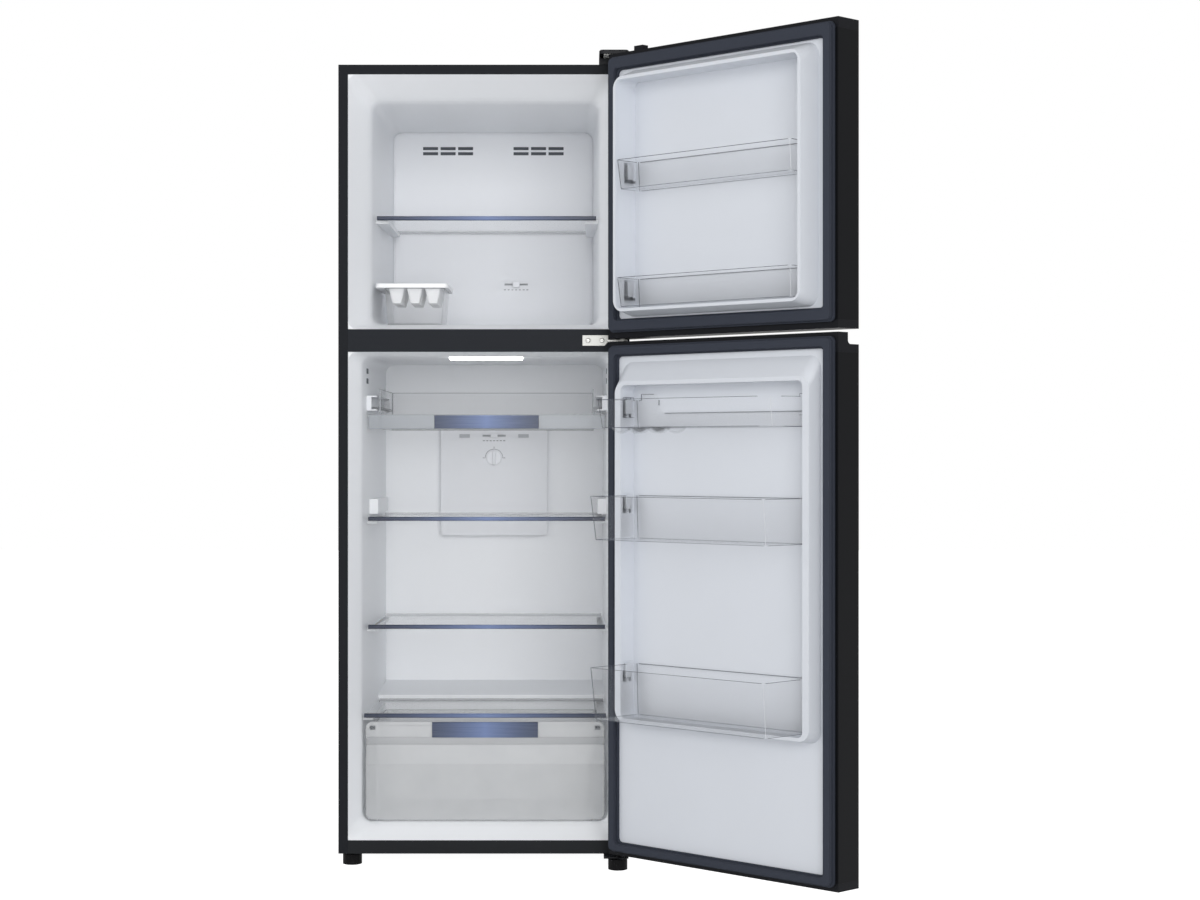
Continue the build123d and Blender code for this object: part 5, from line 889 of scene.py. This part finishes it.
class REFRIGERATOR_OT_stage(bpy.types.Operator):
    """Set up the floor, the lights, the camera and the plain white surroundings"""
    bl_idname = "refrigerator.stage"
    bl_label = "Studio"

    def execute(self, context):
        stage = context.scene.refrigerator_stage
        self.floor(stage)
        self.sky(context.scene, stage)
        self.lamp("front_light", (0.9, -5.2, 1.7), (0.15, 0.0, 0.75), 3.0, stage.front_light)
        self.lamp("side_light", (-3.6, -2.2, 2.4), (0.1, 0.0, 0.8), 2.2, stage.side_light)
        lens = bpy.data.cameras.new("photo_camera")
        lens.sensor_width = 36.0
        lens.lens = stage.focal
        lens.shift_x, lens.shift_y = stage.shift
        lens.clip_end = 60.0
        camera = bpy.data.objects.new("photo_camera", lens)
        camera.location = stage.camera
        camera.rotation_euler = (math.pi / 2, 0, 0)
        context.scene.collection.objects.link(camera)
        context.scene.camera = camera
        context.scene.view_settings.view_transform = "Standard"
        return {"FINISHED"}

    def floor(self, stage):
        mesh = bpy.data.meshes.new("studio_floor")
        reach = 14.0
        mesh.from_pydata([(-reach, -reach, 0), (reach, -reach, 0), (reach, reach, 0), (-reach, reach, 0)], [],
                         [(0, 1, 2, 3)])
        floor = bpy.data.objects.new("studio_floor", mesh)
        bpy.context.scene.collection.objects.link(floor)
        material = bpy.data.materials.new("studio_floor")
        material.use_nodes = True
        nodes = Nodes(material.node_tree)
        nodes.tree.nodes.clear()
        matt = nodes.add("ShaderNodeBsdfDiffuse", None, {"Color": (0.82, 0.82, 0.82, 1)})
        glow = nodes.add("ShaderNodeEmission", None, {"Strength": stage.floor_glow})
        lit = nodes.add("ShaderNodeAddShader", None, {0: matt, 1: glow})
        both = nodes.add("ShaderNodeMixShader", None, {0: seen(nodes), 1: matt, 2: lit})
        nodes.add("ShaderNodeOutputMaterial", None, {"Surface": both})
        mesh.materials.append(material)

    def sky(self, scene, stage):
        world = bpy.data.worlds.new("studio_sky")
        world.use_nodes = True
        scene.world = world
        nodes = Nodes(world.node_tree)
        nodes.tree.nodes.clear()
        even = nodes.add("ShaderNodeBackground", None, {"Color": (1, 1, 1, 1), "Strength": stage.sky})
        white = nodes.add("ShaderNodeBackground", None, {"Color": (1, 1, 1, 1), "Strength": 1.0})
        both = nodes.add("ShaderNodeMixShader", None, {0: seen(nodes), 1: even, 2: white})
        nodes.add("ShaderNodeOutputWorld", None, {"Surface": both})

    def lamp(self, name, place, aim, size, power):
        light = bpy.data.lights.new(name, "AREA")
        light.shape = "SQUARE"
        light.size = size
        light.energy = power
        lamp = bpy.data.objects.new(name, light)
        lamp.location = place
        lamp.rotation_euler = (Vector(aim) - Vector(place)).to_track_quat("-Z", "Y").to_euler()
        bpy.context.scene.collection.objects.link(lamp)


def seen(nodes):
    """1 for rays that come straight from the camera, a glossy piece or a clear piece."""
    total = 0.0
    for ray in ("Is Camera Ray", "Is Glossy Ray", "Is Transmission Ray"):
        total = nodes.add("ShaderNodeLightPath", None, None, ray) + total
    return total.least(1.0)


class REFRIGERATOR_PT_panel(bpy.types.Panel):
    """Every step, its sizes and its colours"""
    bl_idname = "REFRIGERATOR_PT_panel"
    bl_label = "Refrigerator"
    bl_space_type = "VIEW_3D"
    bl_region_type = "UI"
    bl_category = "Refrigerator"

    def draw(self, context):
        scene = context.scene
        for step in STEPS:
            self.layout.operator(step.bl_idname)
        for group in (scene.refrigerator_colours, scene.refrigerator_pieces, scene.refrigerator_stage):
            for name in type(group).__annotations__:
                self.layout.prop(group, name)


STEPS = (REFRIGERATOR_OT_finishes, REFRIGERATOR_OT_cabinet, REFRIGERATOR_OT_cooling, REFRIGERATOR_OT_doors,
         REFRIGERATOR_OT_fittings, REFRIGERATOR_OT_screws, REFRIGERATOR_OT_foot_ribs, REFRIGERATOR_OT_louvres,
         REFRIGERATOR_OT_marks, REFRIGERATOR_OT_gasket_folds, REFRIGERATOR_OT_cover_seal,
         REFRIGERATOR_OT_drawer_ribs, REFRIGERATOR_OT_clear_edges, REFRIGERATOR_OT_stage)
GROUPS = {"refrigerator_colours": RefrigeratorColours, "refrigerator_pieces": RefrigeratorPieces,
          "refrigerator_stage": RefrigeratorStage}


def register():
    for kind in (*GROUPS.values(), *STEPS, REFRIGERATOR_PT_panel):
        bpy.utils.register_class(kind)
    for name, kind in GROUPS.items():
        setattr(bpy.types.Scene, name, bpy.props.PointerProperty(type=kind))


def unregister():
    for name in GROUPS:
        delattr(bpy.types.Scene, name)
    for kind in reversed((*GROUPS.values(), *STEPS, REFRIGERATOR_PT_panel)):
        bpy.utils.unregister_class(kind)


def main():
    register()
    for step in STEPS:
        family, name = step.bl_idname.split(".")
        getattr(getattr(bpy.ops, family), name)()


if __name__ == "__main__":
    main()
